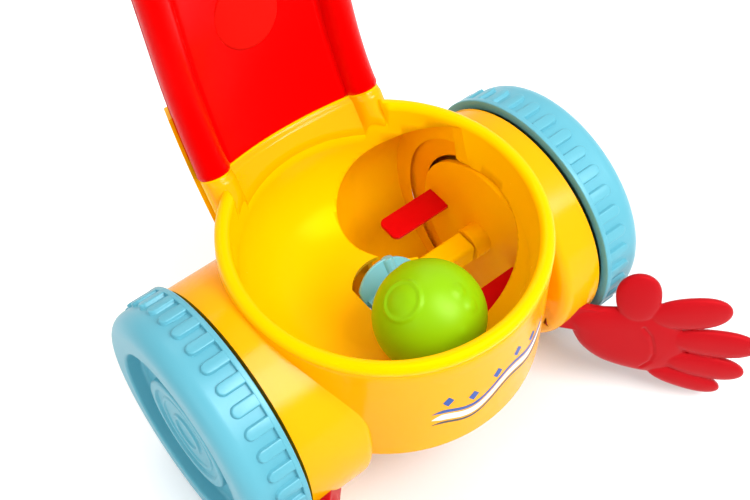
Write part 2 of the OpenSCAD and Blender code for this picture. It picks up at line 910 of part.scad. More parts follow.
module body_screws() {
    color([0.6, 0.61, 0.63])
    at_axle() for (m = [0, 1]) mirror([m, 0, 0]) for (s = [-1, 1]) {
        translate([screw_at_x, s * screw_at_y, -split_drop - screw_len + 10]) screw();
    }
}

module handle_screws() {
    color([0.6, 0.61, 0.63])
    at_axle() union() {
        handle_screw_at() screw();
        neck_screw_at() screw();
    }
}

// slots in the horns' fronts for the wrists
module wrist_slots() {
    for (m = [0, 1]) mirror([m, 0, 0]) hand_frame() {
        translate([-16 * hand_k, -6.5 * hand_k - seat, hand_fwd - hand_t - seat]) {
            cube([28 * hand_k, 17 * hand_k + 2 * seat, hand_t + 2 * seat]);
        }
    }
}

// plane of the right hand: +X along the fingers, +Y up the hand, front face at z = hand_fwd
module hand_frame() {
    translate([wrist_x, -wrist_y, -wrist_z]) rotate([0, 0, -hand_yaw]) rotate([0, hand_dip, 0]) {
        rotate([90 - hand_lean, 0, 0]) children();
    }
}

// finger from a to b with bowed sides, half width w in the middle and a round tip
module finger(a, b, w) {
    d = b - a;
    long = norm(d);
    half = long / 2 + 4;
    bow = (half * half + w * w) / (2 * w);
    tip = tip_k * w;
    translate(a) rotate(atan2(d[1], d[0])) intersection() {
        translate([long / 2, w - bow]) circle(r = bow);
        translate([long / 2, bow - w]) circle(r = bow);
        union() {
            translate([-w, -big / 2]) square([long - tip + w, big]);
            translate([long - tip, 0]) circle(r = tip);
        }
    }
}

// outline of a hand: wrist, palm, thumb and four fingers
module hand_2d() {
    translate([-15, -6.5]) square([30, 17]);
    translate([16.5, -5.5]) circle(r = 15.3);
    translate([28.5, -8.5]) circle(r = 21);
    translate([44, -11]) circle(r = 19);
    polygon([[28.5, -29.5], [50, -30], [58, -25], [64, -12], [60, 3], [22, 12]]);
    translate([33, 17]) circle(r = 11.6);
    translate([29, 25.6]) circle(r = 12.4);
    finger([38.5, 11.5], [82.8, 22.3], 10.9);
    finger([50, -2.6], [104.8, -1], 9.4);
    finger(ring_a, ring_b, ring_w);
    finger([49, -27], [92.6, -35.3], 6.2);
}

module hand() {
    hand_frame() translate([0, 0, hand_fwd - hand_t]) linear_extrude(height = hand_t) {
        scale(hand_k) hand_2d();
    }
}

module right_hand() {
    color([0.86, 0.12, 0.13])
    at_axle() hand();
}

module left_hand() {
    color([0.86, 0.12, 0.13])
    at_axle() mirror([1, 0, 0]) hand();
}

bowl();
body_shell();
base_pan();
ball_scroll();
neck();
handle_front();
handle_back();
grip_bar();
left_hand();
right_hand();
left_wheel();
right_wheel();
left_cap();
right_cap();
axle_rod();
left_bush();
right_bush();
axle_clips();
rotor_disc();
front_paddle();
rear_paddle();
drive_hub();
ball();
body_screws();
handle_screws();
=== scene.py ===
"""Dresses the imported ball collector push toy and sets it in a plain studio."""
import json
import logging
import math
from abc import ABC, abstractmethod
from dataclasses import dataclass, field
from enum import Enum
from typing import Iterable, Sequence

import bmesh
import bpy
import numpy as np
from mathutils import Matrix, Vector

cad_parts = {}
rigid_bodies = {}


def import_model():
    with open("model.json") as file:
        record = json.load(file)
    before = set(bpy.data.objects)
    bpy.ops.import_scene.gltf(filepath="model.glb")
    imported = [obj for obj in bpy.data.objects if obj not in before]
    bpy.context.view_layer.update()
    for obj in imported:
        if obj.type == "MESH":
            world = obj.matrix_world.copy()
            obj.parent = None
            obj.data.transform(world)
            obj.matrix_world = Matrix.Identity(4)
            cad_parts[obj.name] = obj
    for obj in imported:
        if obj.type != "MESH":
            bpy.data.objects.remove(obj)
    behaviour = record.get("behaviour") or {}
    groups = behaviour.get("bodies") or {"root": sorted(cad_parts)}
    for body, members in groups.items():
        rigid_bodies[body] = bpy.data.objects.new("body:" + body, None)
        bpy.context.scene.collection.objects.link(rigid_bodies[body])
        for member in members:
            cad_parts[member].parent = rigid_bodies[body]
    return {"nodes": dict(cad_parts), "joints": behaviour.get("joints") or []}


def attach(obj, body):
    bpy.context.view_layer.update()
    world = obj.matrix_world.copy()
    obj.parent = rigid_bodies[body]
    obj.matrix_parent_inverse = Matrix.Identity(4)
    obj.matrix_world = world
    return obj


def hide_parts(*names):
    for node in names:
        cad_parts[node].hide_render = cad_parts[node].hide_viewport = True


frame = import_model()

LOG = logging.getLogger("ball_collector")
Point = tuple[float, float, float]
Flat = tuple[float, float]
Rgb = tuple[int, int, int]
Values = dict[str | int, object]
MM = 0.001
MERGE = 2e-6
CAD_MERGE = 1e-5
LAMP_AIM = Vector((0, 0, 0.04))
QUARTER = math.pi / 2
WHEEL_STEPS = 192
BOWL_Y = -1.0
SKIRT_TOP: Flat = (84.0, 65.75)
SKIRT_LOW: Flat = (86.0, -6.0)


def axle_place() -> Vector:
    """Finds the axle's middle in the toy's frame.

    Returns:
        The place of the axle joint, in metres.
    """
    for joint in frame["joints"]:
        if joint["name"] == "axle_spin":
            return Vector(joint["pos_m"])
    raise ValueError("the packed toy has no axle joint")


AXLE = axle_place()


class Side(Enum):
    """The two sides of the toy, with the sign of their X."""

    LEFT = -1
    RIGHT = 1

    @property
    def label(self) -> str:
        """Gives the side's name in lower case."""
        return self.name.lower()


class Body(Enum):
    """The toy's moving bodies."""

    FRAME = "frame"
    WHEELSET = "wheelset"
    BALL = "loose_ball"


class Kind(Enum):
    """What a finish is made of."""

    PLASTIC = "plastic"
    STEEL = "steel"
    NYLON = "nylon"


def linear(colour: Rgb) -> tuple[float, float, float, float]:
    """Turns a screen colour into a linear one.

    Args:
        colour: Red, green and blue from 0 to 255.

    Returns:
        Linear red, green, blue and an alpha of one.
    """
    parts = [c / 255 for c in colour]
    r, g, b = [p / 12.92 if p <= 0.04045 else ((p + 0.055) / 1.055) ** 2.4 for p in parts]
    return (r, g, b, 1.0)


@dataclass(frozen=True)
class Finish:
    """One finish of the toy's pieces."""

    slot: str
    tint: Rgb
    deep: Rgb
    gloss: float = 0.22
    scuff: float = 0.12
    shine: float = 0.4
    pale: float = 0.0
    grain: float = 1500.0
    grain_depth: float = 0.05
    kind: Kind = Kind.PLASTIC


YELLOW = Finish("yellow_body", (255, 202, 0), (254, 194, 0), gloss=0.2, scuff=0.05, shine=0.28)
# A darker copy of the body's own yellow: painted shade that tones down the shell, lip band, saddle and grip,
# which the key lamp lights more than the bowl's inside; pale turns its reflections white
YELLOW_SHELL_SHADED = Finish("yellow_body", (255, 180, 0), (254, 172, 0), gloss=0.12, scuff=0.05, shine=0.13,
                      pale=1.0)
# The lane's scroll and disc are the bowl's yellow plastic; this deeper copy paints the shade and bounced
# orange light inside the lane's chamber
LANE_YELLOW_SHADED = Finish("orange_lane", (255, 194, 0), (254, 186, 0), gloss=0.34, scuff=0.05, shine=0.25)
RED_HANDLE = Finish("red_handle", (226, 2, 2), (218, 0, 0), gloss=0.16, scuff=0.03, shine=0.3)
RED_SPOT = Finish("red_handle", (226, 24, 16), (216, 14, 10), gloss=0.5, scuff=0.0, shine=0.2,
                  grain=2600.0, grain_depth=0.25)
RED_HANDS = Finish("red_hands", (186, 26, 31), (176, 17, 27), gloss=0.32, scuff=0.04)
RED_PADDLES = Finish("red_paddles", (230, 14, 16), (206, 4, 8), gloss=0.25)
BLUE_WHEELS = Finish("blue_wheels", (104, 180, 197), (90, 170, 189), gloss=0.26, scuff=0.05, pale=0.5)
BLUE_HUB = Finish("blue_hub", (134, 206, 220), (112, 190, 206), gloss=0.25)
LIME = Finish("lime_ball", (150, 204, 10), (132, 190, 4), gloss=0.34, shine=0.35, pale=0.25)
STEEL = Finish("steel", (196, 198, 202), (160, 162, 168), gloss=0.3, kind=Kind.STEEL)
NYLON = Finish("pale_bush", (238, 238, 230), (222, 222, 212), gloss=0.55, kind=Kind.NYLON)
PRINT_WHITE = Finish("yellow_body", (250, 250, 246), (240, 240, 236), gloss=0.35, scuff=0.05)
PRINT_BLUE = Finish("yellow_body", (38, 92, 176), (30, 78, 158), gloss=0.35, scuff=0.05)
PRINT_SLATE = Finish("yellow_body", (74, 82, 92), (62, 70, 80), gloss=0.35, scuff=0.05)


def adjust(thing: bpy.types.bpy_struct, **settings: object) -> None:
    """Changes settings of a node, a modifier, a lamp or a camera."""
    for setting, value in settings.items():
        setattr(thing, setting, value)


class Wiring:
    """Adds named nodes to a tree and joins their sockets."""

    def __init__(self, tree: bpy.types.NodeTree) -> None:
        """Keeps the tree, with no named nodes yet."""
        self.tree = tree
        self.nodes: dict[str, bpy.types.Node] = {}

    def sockets(self, side: str, **kinds: str) -> None:
        """Adds a group's INPUT or OUTPUT sockets, each name with its kind."""
        for name, kind in kinds.items():
            self.tree.interface.new_socket(name, in_out=side, socket_type=f"NodeSocket{kind}")

    def add(self, name: str, kind: str, values: Values | None = None, **settings: object) -> None:
        """Adds one node.

        Args:
            name: The node's name in this wiring.
            kind: Blender's name of its type.
            values: What its inputs hold, by name or number.
            settings: What its own settings are.
        """
        self.nodes[name] = self.tree.nodes.new(kind)
        adjust(self.nodes[name], **settings)
        self.fill(name, values or {})

    def fill(self, name: str, values: Values) -> None:
        """Sets inputs of a named node, by their name or number."""
        for key, value in values.items():
            self.nodes[name].inputs[key].default_value = value

    def join(self, *pairs: tuple[str, str]) -> None:
        """Joins outputs to inputs.

        Args:
            pairs: Both ends of each link, as a node's name, a dot and its socket.
        """
        for source, target in pairs:
            (start, way_out), (end, way_in) = source.split("."), target.split(".")
            self.tree.links.new(self.nodes[start].outputs[way_out],
                                self.nodes[end].inputs[int(way_in) if way_in.isdigit() else way_in])


class PaintShop:
    """Makes the materials, with one skin group that all of them share."""

    def __init__(self) -> None:
        """Builds the shared group and an empty shelf of materials."""
        self.skin = self._skin_group()
        self.shelf: dict[Finish, bpy.types.Material] = {}

    @staticmethod
    def _skin_group() -> bpy.types.NodeTree:
        """Builds the group that gives a moulded skin its colour drift, grain and scuffs.

        Returns:
            The shader group.
        """
        group = bpy.data.node_groups.new("moulded_skin", "ShaderNodeTree")
        net = Wiring(group)
        net.sockets("INPUT", Tint="Color", Deep="Color", Gloss="Float", Scuff="Float", Grain="Float")
        net.sockets("OUTPUT", Colour="Color", Roughness="Float", Height="Float")
        net.add("given", "NodeGroupInput")
        net.add("out", "NodeGroupOutput")
        net.add("place", "ShaderNodeTexCoord")
        net.add("drift", "ShaderNodeTexNoise", {"Scale": 16.0, "Detail": 3.0})
        net.add("blend", "ShaderNodeMix", data_type="RGBA")
        net.add("grain", "ShaderNodeTexNoise", {"Detail": 2.0})
        net.add("stretch", "ShaderNodeVectorMath", {1: (60.0, 420.0, 140.0)}, operation="MULTIPLY")
        net.add("marks", "ShaderNodeTexNoise", {"Scale": 1.0, "Detail": 4.0})
        net.add("fine", "ShaderNodeMapRange", {"From Min": 0.62, "From Max": 0.8})
        net.add("worn", "ShaderNodeMath", operation="MULTIPLY")
        net.add("dull", "ShaderNodeMath", {1: 0.08}, operation="MULTIPLY_ADD")
        net.add("rough", "ShaderNodeMath", operation="ADD")
        net.add("height", "ShaderNodeMath", operation="SUBTRACT")
        net.join(("place.Object", "drift.Vector"), ("drift.Fac", "blend.Factor"), ("given.Tint", "blend.A"),
                 ("given.Deep", "blend.B"), ("blend.Result", "out.Colour"),
                 ("place.Object", "grain.Vector"), ("given.Grain", "grain.Scale"),
                 ("place.Object", "stretch.0"), ("stretch.Vector", "marks.Vector"),
                 ("marks.Fac", "fine.Value"), ("fine.Result", "worn.0"), ("given.Scuff", "worn.1"),
                 ("grain.Fac", "dull.0"), ("worn.Value", "dull.2"),
                 ("dull.Value", "rough.0"), ("given.Gloss", "rough.1"), ("rough.Value", "out.Roughness"),
                 ("grain.Fac", "height.0"), ("worn.Value", "height.1"), ("height.Value", "out.Height"))
        return group

    def material(self, finish: Finish) -> bpy.types.Material:
        """Gives the material of a finish, made on first use.

        Args:
            finish: The finish to make.

        Returns:
            The material.
        """
        if finish in self.shelf:
            return self.shelf[finish]
        made = bpy.data.materials.new(f"{finish.slot}_{finish.tint[0]}_{finish.tint[2]}")
        made.use_nodes = True
        net = Wiring(made.node_tree)
        net.nodes["shader"] = made.node_tree.nodes["Principled BSDF"]
        net.add("skin", "ShaderNodeGroup", {
            "Tint": linear(finish.tint), "Deep": linear(finish.deep), "Gloss": finish.gloss,
            "Scuff": finish.scuff, "Grain": finish.grain}, node_tree=self.skin)
        net.add("bump", "ShaderNodeBump", {"Strength": finish.grain_depth, "Distance": 0.0002})
        net.join(("skin.Colour", "shader.Base Color"), ("skin.Roughness", "shader.Roughness"),
                 ("skin.Height", "bump.Height"), ("bump.Normal", "shader.Normal"))
        net.fill("shader", {"IOR": 1.46, "Specular IOR Level": finish.shine})
        if finish.kind is Kind.STEEL:
            net.fill("shader", {"Metallic": 1.0})
        elif finish.kind is Kind.PLASTIC:
            gleam = [v + (1.0 - v) * finish.pale for v in linear(finish.tint)]
            net.fill("shader", {"Specular Tint": gleam})
        self.shelf[finish] = made
        return made


@dataclass
class Shape:
    """Points in millimetres around the axle's middle, and the faces that join them."""

    points: list[Point] = field(default_factory=list)
    faces: list[tuple[int, ...]] = field(default_factory=list)

    def add(self, other: "Shape") -> "Shape":
        """Adds another shape's points and faces.

        Args:
            other: The shape to add.

        Returns:
            This shape.
        """
        base = len(self.points)
        self.points.extend(other.points)
        self.faces.extend(tuple(i + base for i in f) for f in other.faces)
        return self

    def moved(self, matrix: Matrix) -> "Shape":
        """Gives a copy carried by a 4 by 4 matrix, in millimetres."""
        return Shape([tuple(matrix @ Vector(p)) for p in self.points], list(self.faces))

    def mirrored(self) -> "Shape":
        """Gives a copy with left and right changed over."""
        return Shape([(-x, y, z) for x, y, z in self.points], [tuple(reversed(f)) for f in self.faces])


def turns(count: int) -> np.ndarray:
    """Gives the angles of a full turn in equal steps."""
    return np.linspace(0, 2 * math.pi, count, endpoint=False)


def half_turn(count: int) -> np.ndarray:
    """Gives angles from a quarter turn back to a quarter turn on."""
    return np.linspace(-QUARTER, QUARTER, count)


def arc(radius: float, angles: Iterable[float]) -> list[Flat]:
    """Gives the points of a round stretch at the angles."""
    return [(radius * math.cos(a), radius * math.sin(a)) for a in angles]


def rounded(corners: Sequence[Point], steps: int) -> list[Flat]:
    """Rounds the corners of a closed outline.

    Args:
        corners: Places and corner radii.
        steps: Pieces in each rounded corner.

    Returns:
        The outline's points.
    """
    line: list[Flat] = []
    for i, (x, y, radius) in enumerate(corners):
        if radius <= 0:
            line.append((x, y))
            continue
        here = Vector((x, y))
        before = (Vector(corners[i - 1][:2]) - here).normalized()
        after = (Vector(corners[(i + 1) % len(corners)][:2]) - here).normalized()
        half = math.acos(max(-1.0, min(1.0, before.dot(after)))) / 2
        reach = radius / math.tan(half)
        middle = here + (before + after).normalized() * (radius / math.sin(half))
        start = here + before * reach - middle
        end = here + after * reach - middle
        first = math.atan2(start.y, start.x)
        sweep = (math.atan2(end.y, end.x) - first + math.pi) % (2 * math.pi) - math.pi
        bend = arc(radius, np.linspace(first, first + sweep, steps + 1))
        line += [(middle.x + x, middle.y + y) for x, y in bend]
    return line


def loft(rings: Sequence[Sequence[Point]], looped: bool = False) -> Shape:
    """Joins rings of points into a skin.

    Args:
        rings: Rings with the same number of points.
        looped: Whether the last ring joins the first, in place of two filled ends.

    Returns:
        The skin.
    """
    n, count = len(rings[0]), len(rings)
    faces: list[tuple[int, ...]] = []
    for k in range(count if looped else count - 1):
        here, after = k * n, (k + 1) % count * n
        for j in range(n):
            beside = (j + 1) % n
            faces.append((here + j, here + beside, after + beside, after + j))
    if not looped:
        faces.append(tuple(reversed(range(n))))
        faces.append(tuple(range((count - 1) * n, count * n)))
    return Shape([p for ring in rings for p in ring], faces)


def revolve(profile: Sequence[Flat]) -> Shape:
    """Turns a closed profile, of radii and places along the axle, around the axle."""
    ways = arc(1.0, turns(WHEEL_STEPS))
    return loft([[(x, r * y, r * z) for r, x in profile] for z, y in ways], looped=True)


def put(name: str, data: bpy.types.ID) -> bpy.types.Object:
    """Puts a new object in the scene.

    Args:
        name: The object's name.
        data: Its mesh, lamp or camera.

    Returns:
        The object, at the origin.
    """
    made = bpy.data.objects.new(name, data)
    bpy.context.scene.collection.objects.link(made)
    return made


class Workbench:
    """Turns shapes into Blender objects that ride on the toy's bodies."""

    def __init__(self, paint: PaintShop) -> None:
        """Keeps the paint shop that dresses each piece."""
        self.paint = paint

    def mesh_object(self, name: str, shape: Shape, finish: Finish, sharp: float,
                    centred: bool = False) -> bpy.types.Object:
        """Makes an object from a shape.

        Args:
            name: The piece's name.
            shape: The shape around the axle, in millimetres.
            finish: The finish of the whole piece.
            sharp: Edges that turn by more than this many degrees stay sharp.
            centred: Whether the axle stays at the origin, for shapes that are repeated.

        Returns:
            The object, at the origin.
        """
        home = Vector() if centred else AXLE
        mesh = bpy.data.meshes.new(name)
        mesh.from_pydata([Vector(p) * MM + home for p in shape.points], [], shape.faces)
        work = bmesh.new()
        work.from_mesh(mesh)
        bmesh.ops.remove_doubles(work, verts=work.verts, dist=MERGE)
        bmesh.ops.recalc_face_normals(work, faces=work.faces)
        work.to_mesh(mesh)
        work.free()
        mesh.shade_smooth()
        mesh.set_sharp_from_angle(angle=math.radians(sharp))
        mesh.materials.append(self.paint.material(finish))
        return put(name, mesh)

    def node_copy(self, node: str, finish: Finish) -> bpy.types.Object:
        """Makes a draft from a copy of a CAD node's mesh.

        Args:
            node: The node's name.
            finish: The finish of the draft.

        Returns:
            The draft, at the origin.
        """
        mesh = frame["nodes"][node].data.copy()
        mesh.materials.clear()
        mesh.materials.append(self.paint.material(finish))
        return put(f"{node}_draft", mesh)

    @staticmethod
    def settle(piece: bpy.types.Object, name: str) -> bpy.types.Object:
        """Makes a plain mesh of a piece with live modifiers.

        Args:
            piece: The piece, which is removed.
            name: The plain piece's name.

        Returns:
            The plain piece.
        """
        graph = bpy.context.evaluated_depsgraph_get()
        mesh = bpy.data.meshes.new_from_object(piece.evaluated_get(graph), depsgraph=graph)
        bpy.data.objects.remove(piece)
        return put(name, mesh)

    @staticmethod
    def install(piece: bpy.types.Object, body: Body, finish: Finish, *nodes: str) -> None:
        """Sets a piece on its body, in place of CAD nodes.

        Args:
            piece: The finished piece.
            body: The body it rides on.
            finish: Not used.
            nodes: The CAD nodes it stands for.
        """
        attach(piece, body.value)
        if nodes:
            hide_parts(*nodes)
        LOG.info("%s rides on %s with %d faces", piece.name, body.value, len(piece.data.polygons))

    def add(self, name: str, shape: Shape, finish: Finish, body: Body, *nodes: str,
            sharp: float = 50.0) -> None:
        """Makes a piece from a shape and sets it on its body, in place of CAD nodes."""
        self.install(self.mesh_object(name, shape, finish, sharp), body, finish, *nodes)


class RepeatTree:
    """Geometry Nodes that repeat one shape around the axle or on aimed points."""

    def __init__(self, name: str, **inputs: str) -> None:
        """Starts a tree with the nodes that both ways of repeating share.

        Args:
            name: The tree's name.
            inputs: The kind of each input.
        """
        self.tree = bpy.data.node_groups.new(name, "GeometryNodeTree")
        self.net = Wiring(self.tree)
        self.net.sockets("OUTPUT", Geometry="Geometry")
        self.net.sockets("INPUT", **inputs)
        self.net.add("given", "NodeGroupInput")
        self.net.add("shape", "GeometryNodeObjectInfo", {"As Instance": True})
        self.net.add("copies", "GeometryNodeInstanceOnPoints")
        self.net.add("real", "GeometryNodeRealizeInstances")
        self.net.add("dress", "GeometryNodeSetMaterial")
        self.net.add("out", "NodeGroupOutput")
        self.net.join(("given.Shape", "shape.Object"), ("shape.Geometry", "copies.Instance"),
                      ("real.Geometry", "dress.Geometry"), ("given.Finish", "dress.Material"),
                      ("dress.Geometry", "out.Geometry"))

    @classmethod
    def around_axle(cls) -> "RepeatTree":
        """Makes a tree that repeats a shape around the axle.

        Returns:
            The tree.
        """
        made = cls("repeat_around_axle", Shape="Object", Count="Int", Centre="Vector", Finish="Material")
        net = made.net
        net.add("line", "GeometryNodeMeshLine", {"Offset": (0.0, 0.0, 0.0)})
        net.add("index", "GeometryNodeInputIndex")
        net.add("turn", "ShaderNodeMath", {0: 2 * math.pi}, operation="DIVIDE")
        net.add("angle", "ShaderNodeMath", operation="MULTIPLY")
        net.add("euler", "ShaderNodeCombineXYZ")
        net.add("rotation", "FunctionNodeEulerToRotation")
        net.add("moved", "GeometryNodeTransform")
        net.join(("given.Count", "line.Count"), ("given.Count", "turn.1"), ("index.Index", "angle.0"),
                 ("turn.Value", "angle.1"), ("angle.Value", "euler.X"), ("euler.Vector", "rotation.Euler"),
                 ("line.Mesh", "copies.Points"), ("rotation.Rotation", "copies.Rotation"),
                 ("copies.Instances", "moved.Geometry"), ("given.Centre", "moved.Translation"),
                 ("moved.Geometry", "real.Geometry"))
        return made

    @classmethod
    def on_points(cls) -> "RepeatTree":
        """Makes a tree that puts a shape on each point, turned to the point's aim.

        Returns:
            The tree.
        """
        made = cls("repeat_on_points", Points="Geometry", Shape="Object", Finish="Material")
        made.net.add("aim", "GeometryNodeInputNamedAttribute", {"Name": "aim"}, data_type="FLOAT_VECTOR")
        made.net.add("align", "FunctionNodeAlignRotationToVector", axis="Z")
        made.net.join(("aim.Attribute", "align.Vector"), ("given.Points", "copies.Points"),
                      ("align.Rotation", "copies.Rotation"), ("copies.Instances", "real.Geometry"))
        return made

    def apply(self, carrier: bpy.types.Object, name: str, **values: object) -> bpy.types.Object:
        """Runs the tree on a carrier and makes the result plain.

        Args:
            carrier: The object that carries the modifier, which is used up.
            name: The plain piece's name.
            values: The tree's inputs.

        Returns:
            The plain piece.
        """
        modifier = carrier.modifiers.new("repeat", "NODES")
        modifier.node_group = self.tree
        for item in self.tree.interface.items_tree:
            if item.in_out == "INPUT" and item.name in values:
                modifier[item.identifier] = values[item.name]
        carrier.update_tag()
        return Workbench.settle(carrier, name)


@dataclass
class Piece(ABC):
    """A piece of the toy that is made on a bench."""

    bench: Workbench

    @abstractmethod
    def build(self) -> None:
        """Makes the piece and sets it on its body."""


@dataclass
class Wheel(Piece):
    """A lugged wheel with the plate in its middle.

    The lug's lines give its inset with the rise over the tread or the drop under its top, and the cap's rings
    give a radius, the drop under the cap's top and a corner radius.
    """

    side: Side
    tree: RepeatTree
    inner: float = 100.0
    outer: float = 130.0
    roll_r: float = 71.0
    tread_r: float = 68.8
    shoulder: float = 10.0
    dish_r: float = 48.5
    dish: float = 9.0
    flare: float = 0.6
    wall: float = 3.4
    rim_deep: float = 8.0
    boss_r: float = 9.5
    bore: float = 3.05
    band: float = 3.0
    lugs: int = 36
    lug_w: float = 6.4
    lug_from: float = 102.0
    lug_to: float = 116.5
    lug_top: float = 70.85
    lug_root: tuple[Flat, ...] = ((-0.3, -1.0), (-0.3, 0.0), (-0.05, 0.2))
    lug_edge: tuple[Flat, ...] = ((0.05, 0.7), (0.2, 0.3), (0.5, 0.08), (0.9, 0.0))
    cap_r: float = 32.0
    cap_t: float = 6.0
    cap_well: Flat = (13.5, 2.6)
    cap_rings: tuple[Point, ...] = (
        (0.0, 1.6, 0.0), (8.4, 1.6, 0.5), (9.2, 0.5, 0.4), (11.4, 0.5, 0.4), (12.2, 1.6, 0.5),
        (19.4, 1.6, 0.5), (20.2, 0.8, 0.4), (21.6, 0.8, 0.4), (22.4, 1.6, 0.5), (26.0, 1.6, 0.6),
        (27.0, 0.0, 0.8))

    def body_profile(self) -> list[Flat]:
        """Draws the wheel's section.

        Returns:
            Radii and places along the axle, on the right.
        """
        floor, web = self.outer - self.dish, self.outer - self.dish - self.wall
        band, skin = self.inner + self.band, self.outer - self.wall
        under, deep, ring = self.tread_r - self.wall, self.tread_r - self.rim_deep, self.dish_r + self.wall
        return rounded([
            (self.bore, floor, 0.0), (self.dish_r, floor, 2.2), (self.dish_r + self.flare, self.outer, 1.6),
            (self.tread_r, self.outer, self.shoulder), (self.tread_r, band, 0.3), (self.roll_r, band, 0.5),
            (self.roll_r, self.inner, 0.7), (under, self.inner, 0.5), (under, web, 2.0), (deep, web, 1.0),
            (deep, skin, 1.5), (ring, skin, 1.0), (ring, web, 0.8), (self.boss_r, web, 1.0),
            (self.boss_r, self.inner, 0.5), (self.bore, self.inner, 0.0)], 8)

    def cap_profile(self) -> list[Flat]:
        """Draws the section of the plate in the wheel's middle, with its plain rings.

        Returns:
            Radii and places along the axle, on the right.
        """
        low = self.outer - self.dish
        top = low + self.cap_t
        well, roof = self.cap_well[0], low + self.cap_well[1]
        return rounded([(r, top - drop, corner) for r, drop, corner in self.cap_rings] + [
            (self.cap_r, top, 1.8), (self.cap_r, low, 0.0), (well, low, 0.0), (well, roof, 0.4),
            (0.0, roof, 0.0)], 4)

    def lug(self) -> Shape:
        """Builds one tongue of the tread, with a round outer end and a soft top edge.

        Returns:
            The tongue at the top of the wheel.
        """
        half = self.lug_w / 2
        centre = self.lug_to - half
        end = arc(half, half_turn(11))
        levels = [(inset, self.tread_r + rise) for inset, rise in self.lug_root]
        levels += [(inset, self.lug_top - drop) for inset, drop in self.lug_edge]
        rings = []
        for inset, height in levels:
            scale = (half - inset) / half
            line = [(self.lug_from, -half * scale), *((centre + x * scale, y * scale) for x, y in end),
                    (self.lug_from, half * scale)]
            rings.append([(self.side.value * x, y, math.sqrt(height ** 2 - y ** 2)) for x, y in line])
        return loft(rings)

    def build(self) -> None:
        """Makes the wheel, its tread and its plate, and sets them on the wheelset."""
        label = self.side.label
        for name, profile, node in ((f"{label}_wheel_rim", self.body_profile(), f"{label}_wheel"),
                                    (f"{label}_wheel_plate", self.cap_profile(), f"{label}_cap")):
            shape = revolve(profile)
            if self.side is Side.LEFT:
                shape = shape.mirrored()
            self.bench.add(name, shape, BLUE_WHEELS, Body.WHEELSET, node)
        tongue = self.bench.mesh_object("tread_tongue", self.lug(), BLUE_WHEELS, 60, centred=True)
        carrier = put("tread_carrier", bpy.data.meshes.new("tread_carrier"))
        tread = self.tree.apply(carrier, f"{label}_tread", Shape=tongue, Count=self.lugs, Centre=AXLE[:],
                                Finish=self.bench.paint.material(BLUE_WHEELS))
        bpy.data.objects.remove(tongue)
        self.bench.install(tread, Body.WHEELSET, BLUE_WHEELS)


@dataclass
class Ball(Piece):
    """The loose play ball with its moulded bosses.

    Each boss has an aim, the angles of its middle and its width, and a height.
    """

    radius: float = 29.0
    bosses: tuple[tuple[Point, float, float, float], ...] = (
        ((-0.548, 0.159, 0.821), 0.0, 0.25, 0.7), ((-0.548, 0.159, 0.821), 0.345, 0.035, 0.9),
        ((0.297, -0.327, 0.897), 0.0, 0.12, 0.8), ((0.358, -0.598, 0.717), 0.0, 0.12, 0.8),
        ((0.001, -0.851, 0.526), 0.0, 0.1, 0.4), ((0.6, 0.7, -0.3), 0.0, 0.25, 0.5),
        ((0.6, 0.7, -0.3), 0.345, 0.035, 0.55), ((0.1, 0.8, 0.6), 0.0, 0.14, 0.5))

    def build(self) -> None:
        """Makes the ball and sets it on its body."""
        spots = np.array([v.co[:] for v in frame["nodes"]["ball"].data.vertices])
        centre = ((spots.min(0) + spots.max(0)) / 2 - np.array(AXLE)) / MM
        work = bmesh.new()
        bmesh.ops.create_icosphere(work, subdivisions=6, radius=1.0)
        points = np.array([v.co[:] for v in work.verts])
        faces = [tuple(v.index for v in f.verts) for f in work.faces]
        work.free()
        points /= np.linalg.norm(points, axis=1)[:, None]
        reach = np.full(len(points), self.radius)
        for aim, middle, width, height in self.bosses:
            angle = np.arccos(np.clip(points @ np.array(aim) / np.linalg.norm(aim), -1, 1))
            reach += height * np.exp(-(((angle - middle) / width) ** 4))
        placed = points * reach[:, None] + centre
        shape = Shape([tuple(p) for p in placed], faces)
        self.bench.add("play_ball", shape, LIME, Body.BALL, "ball", sharp=60)


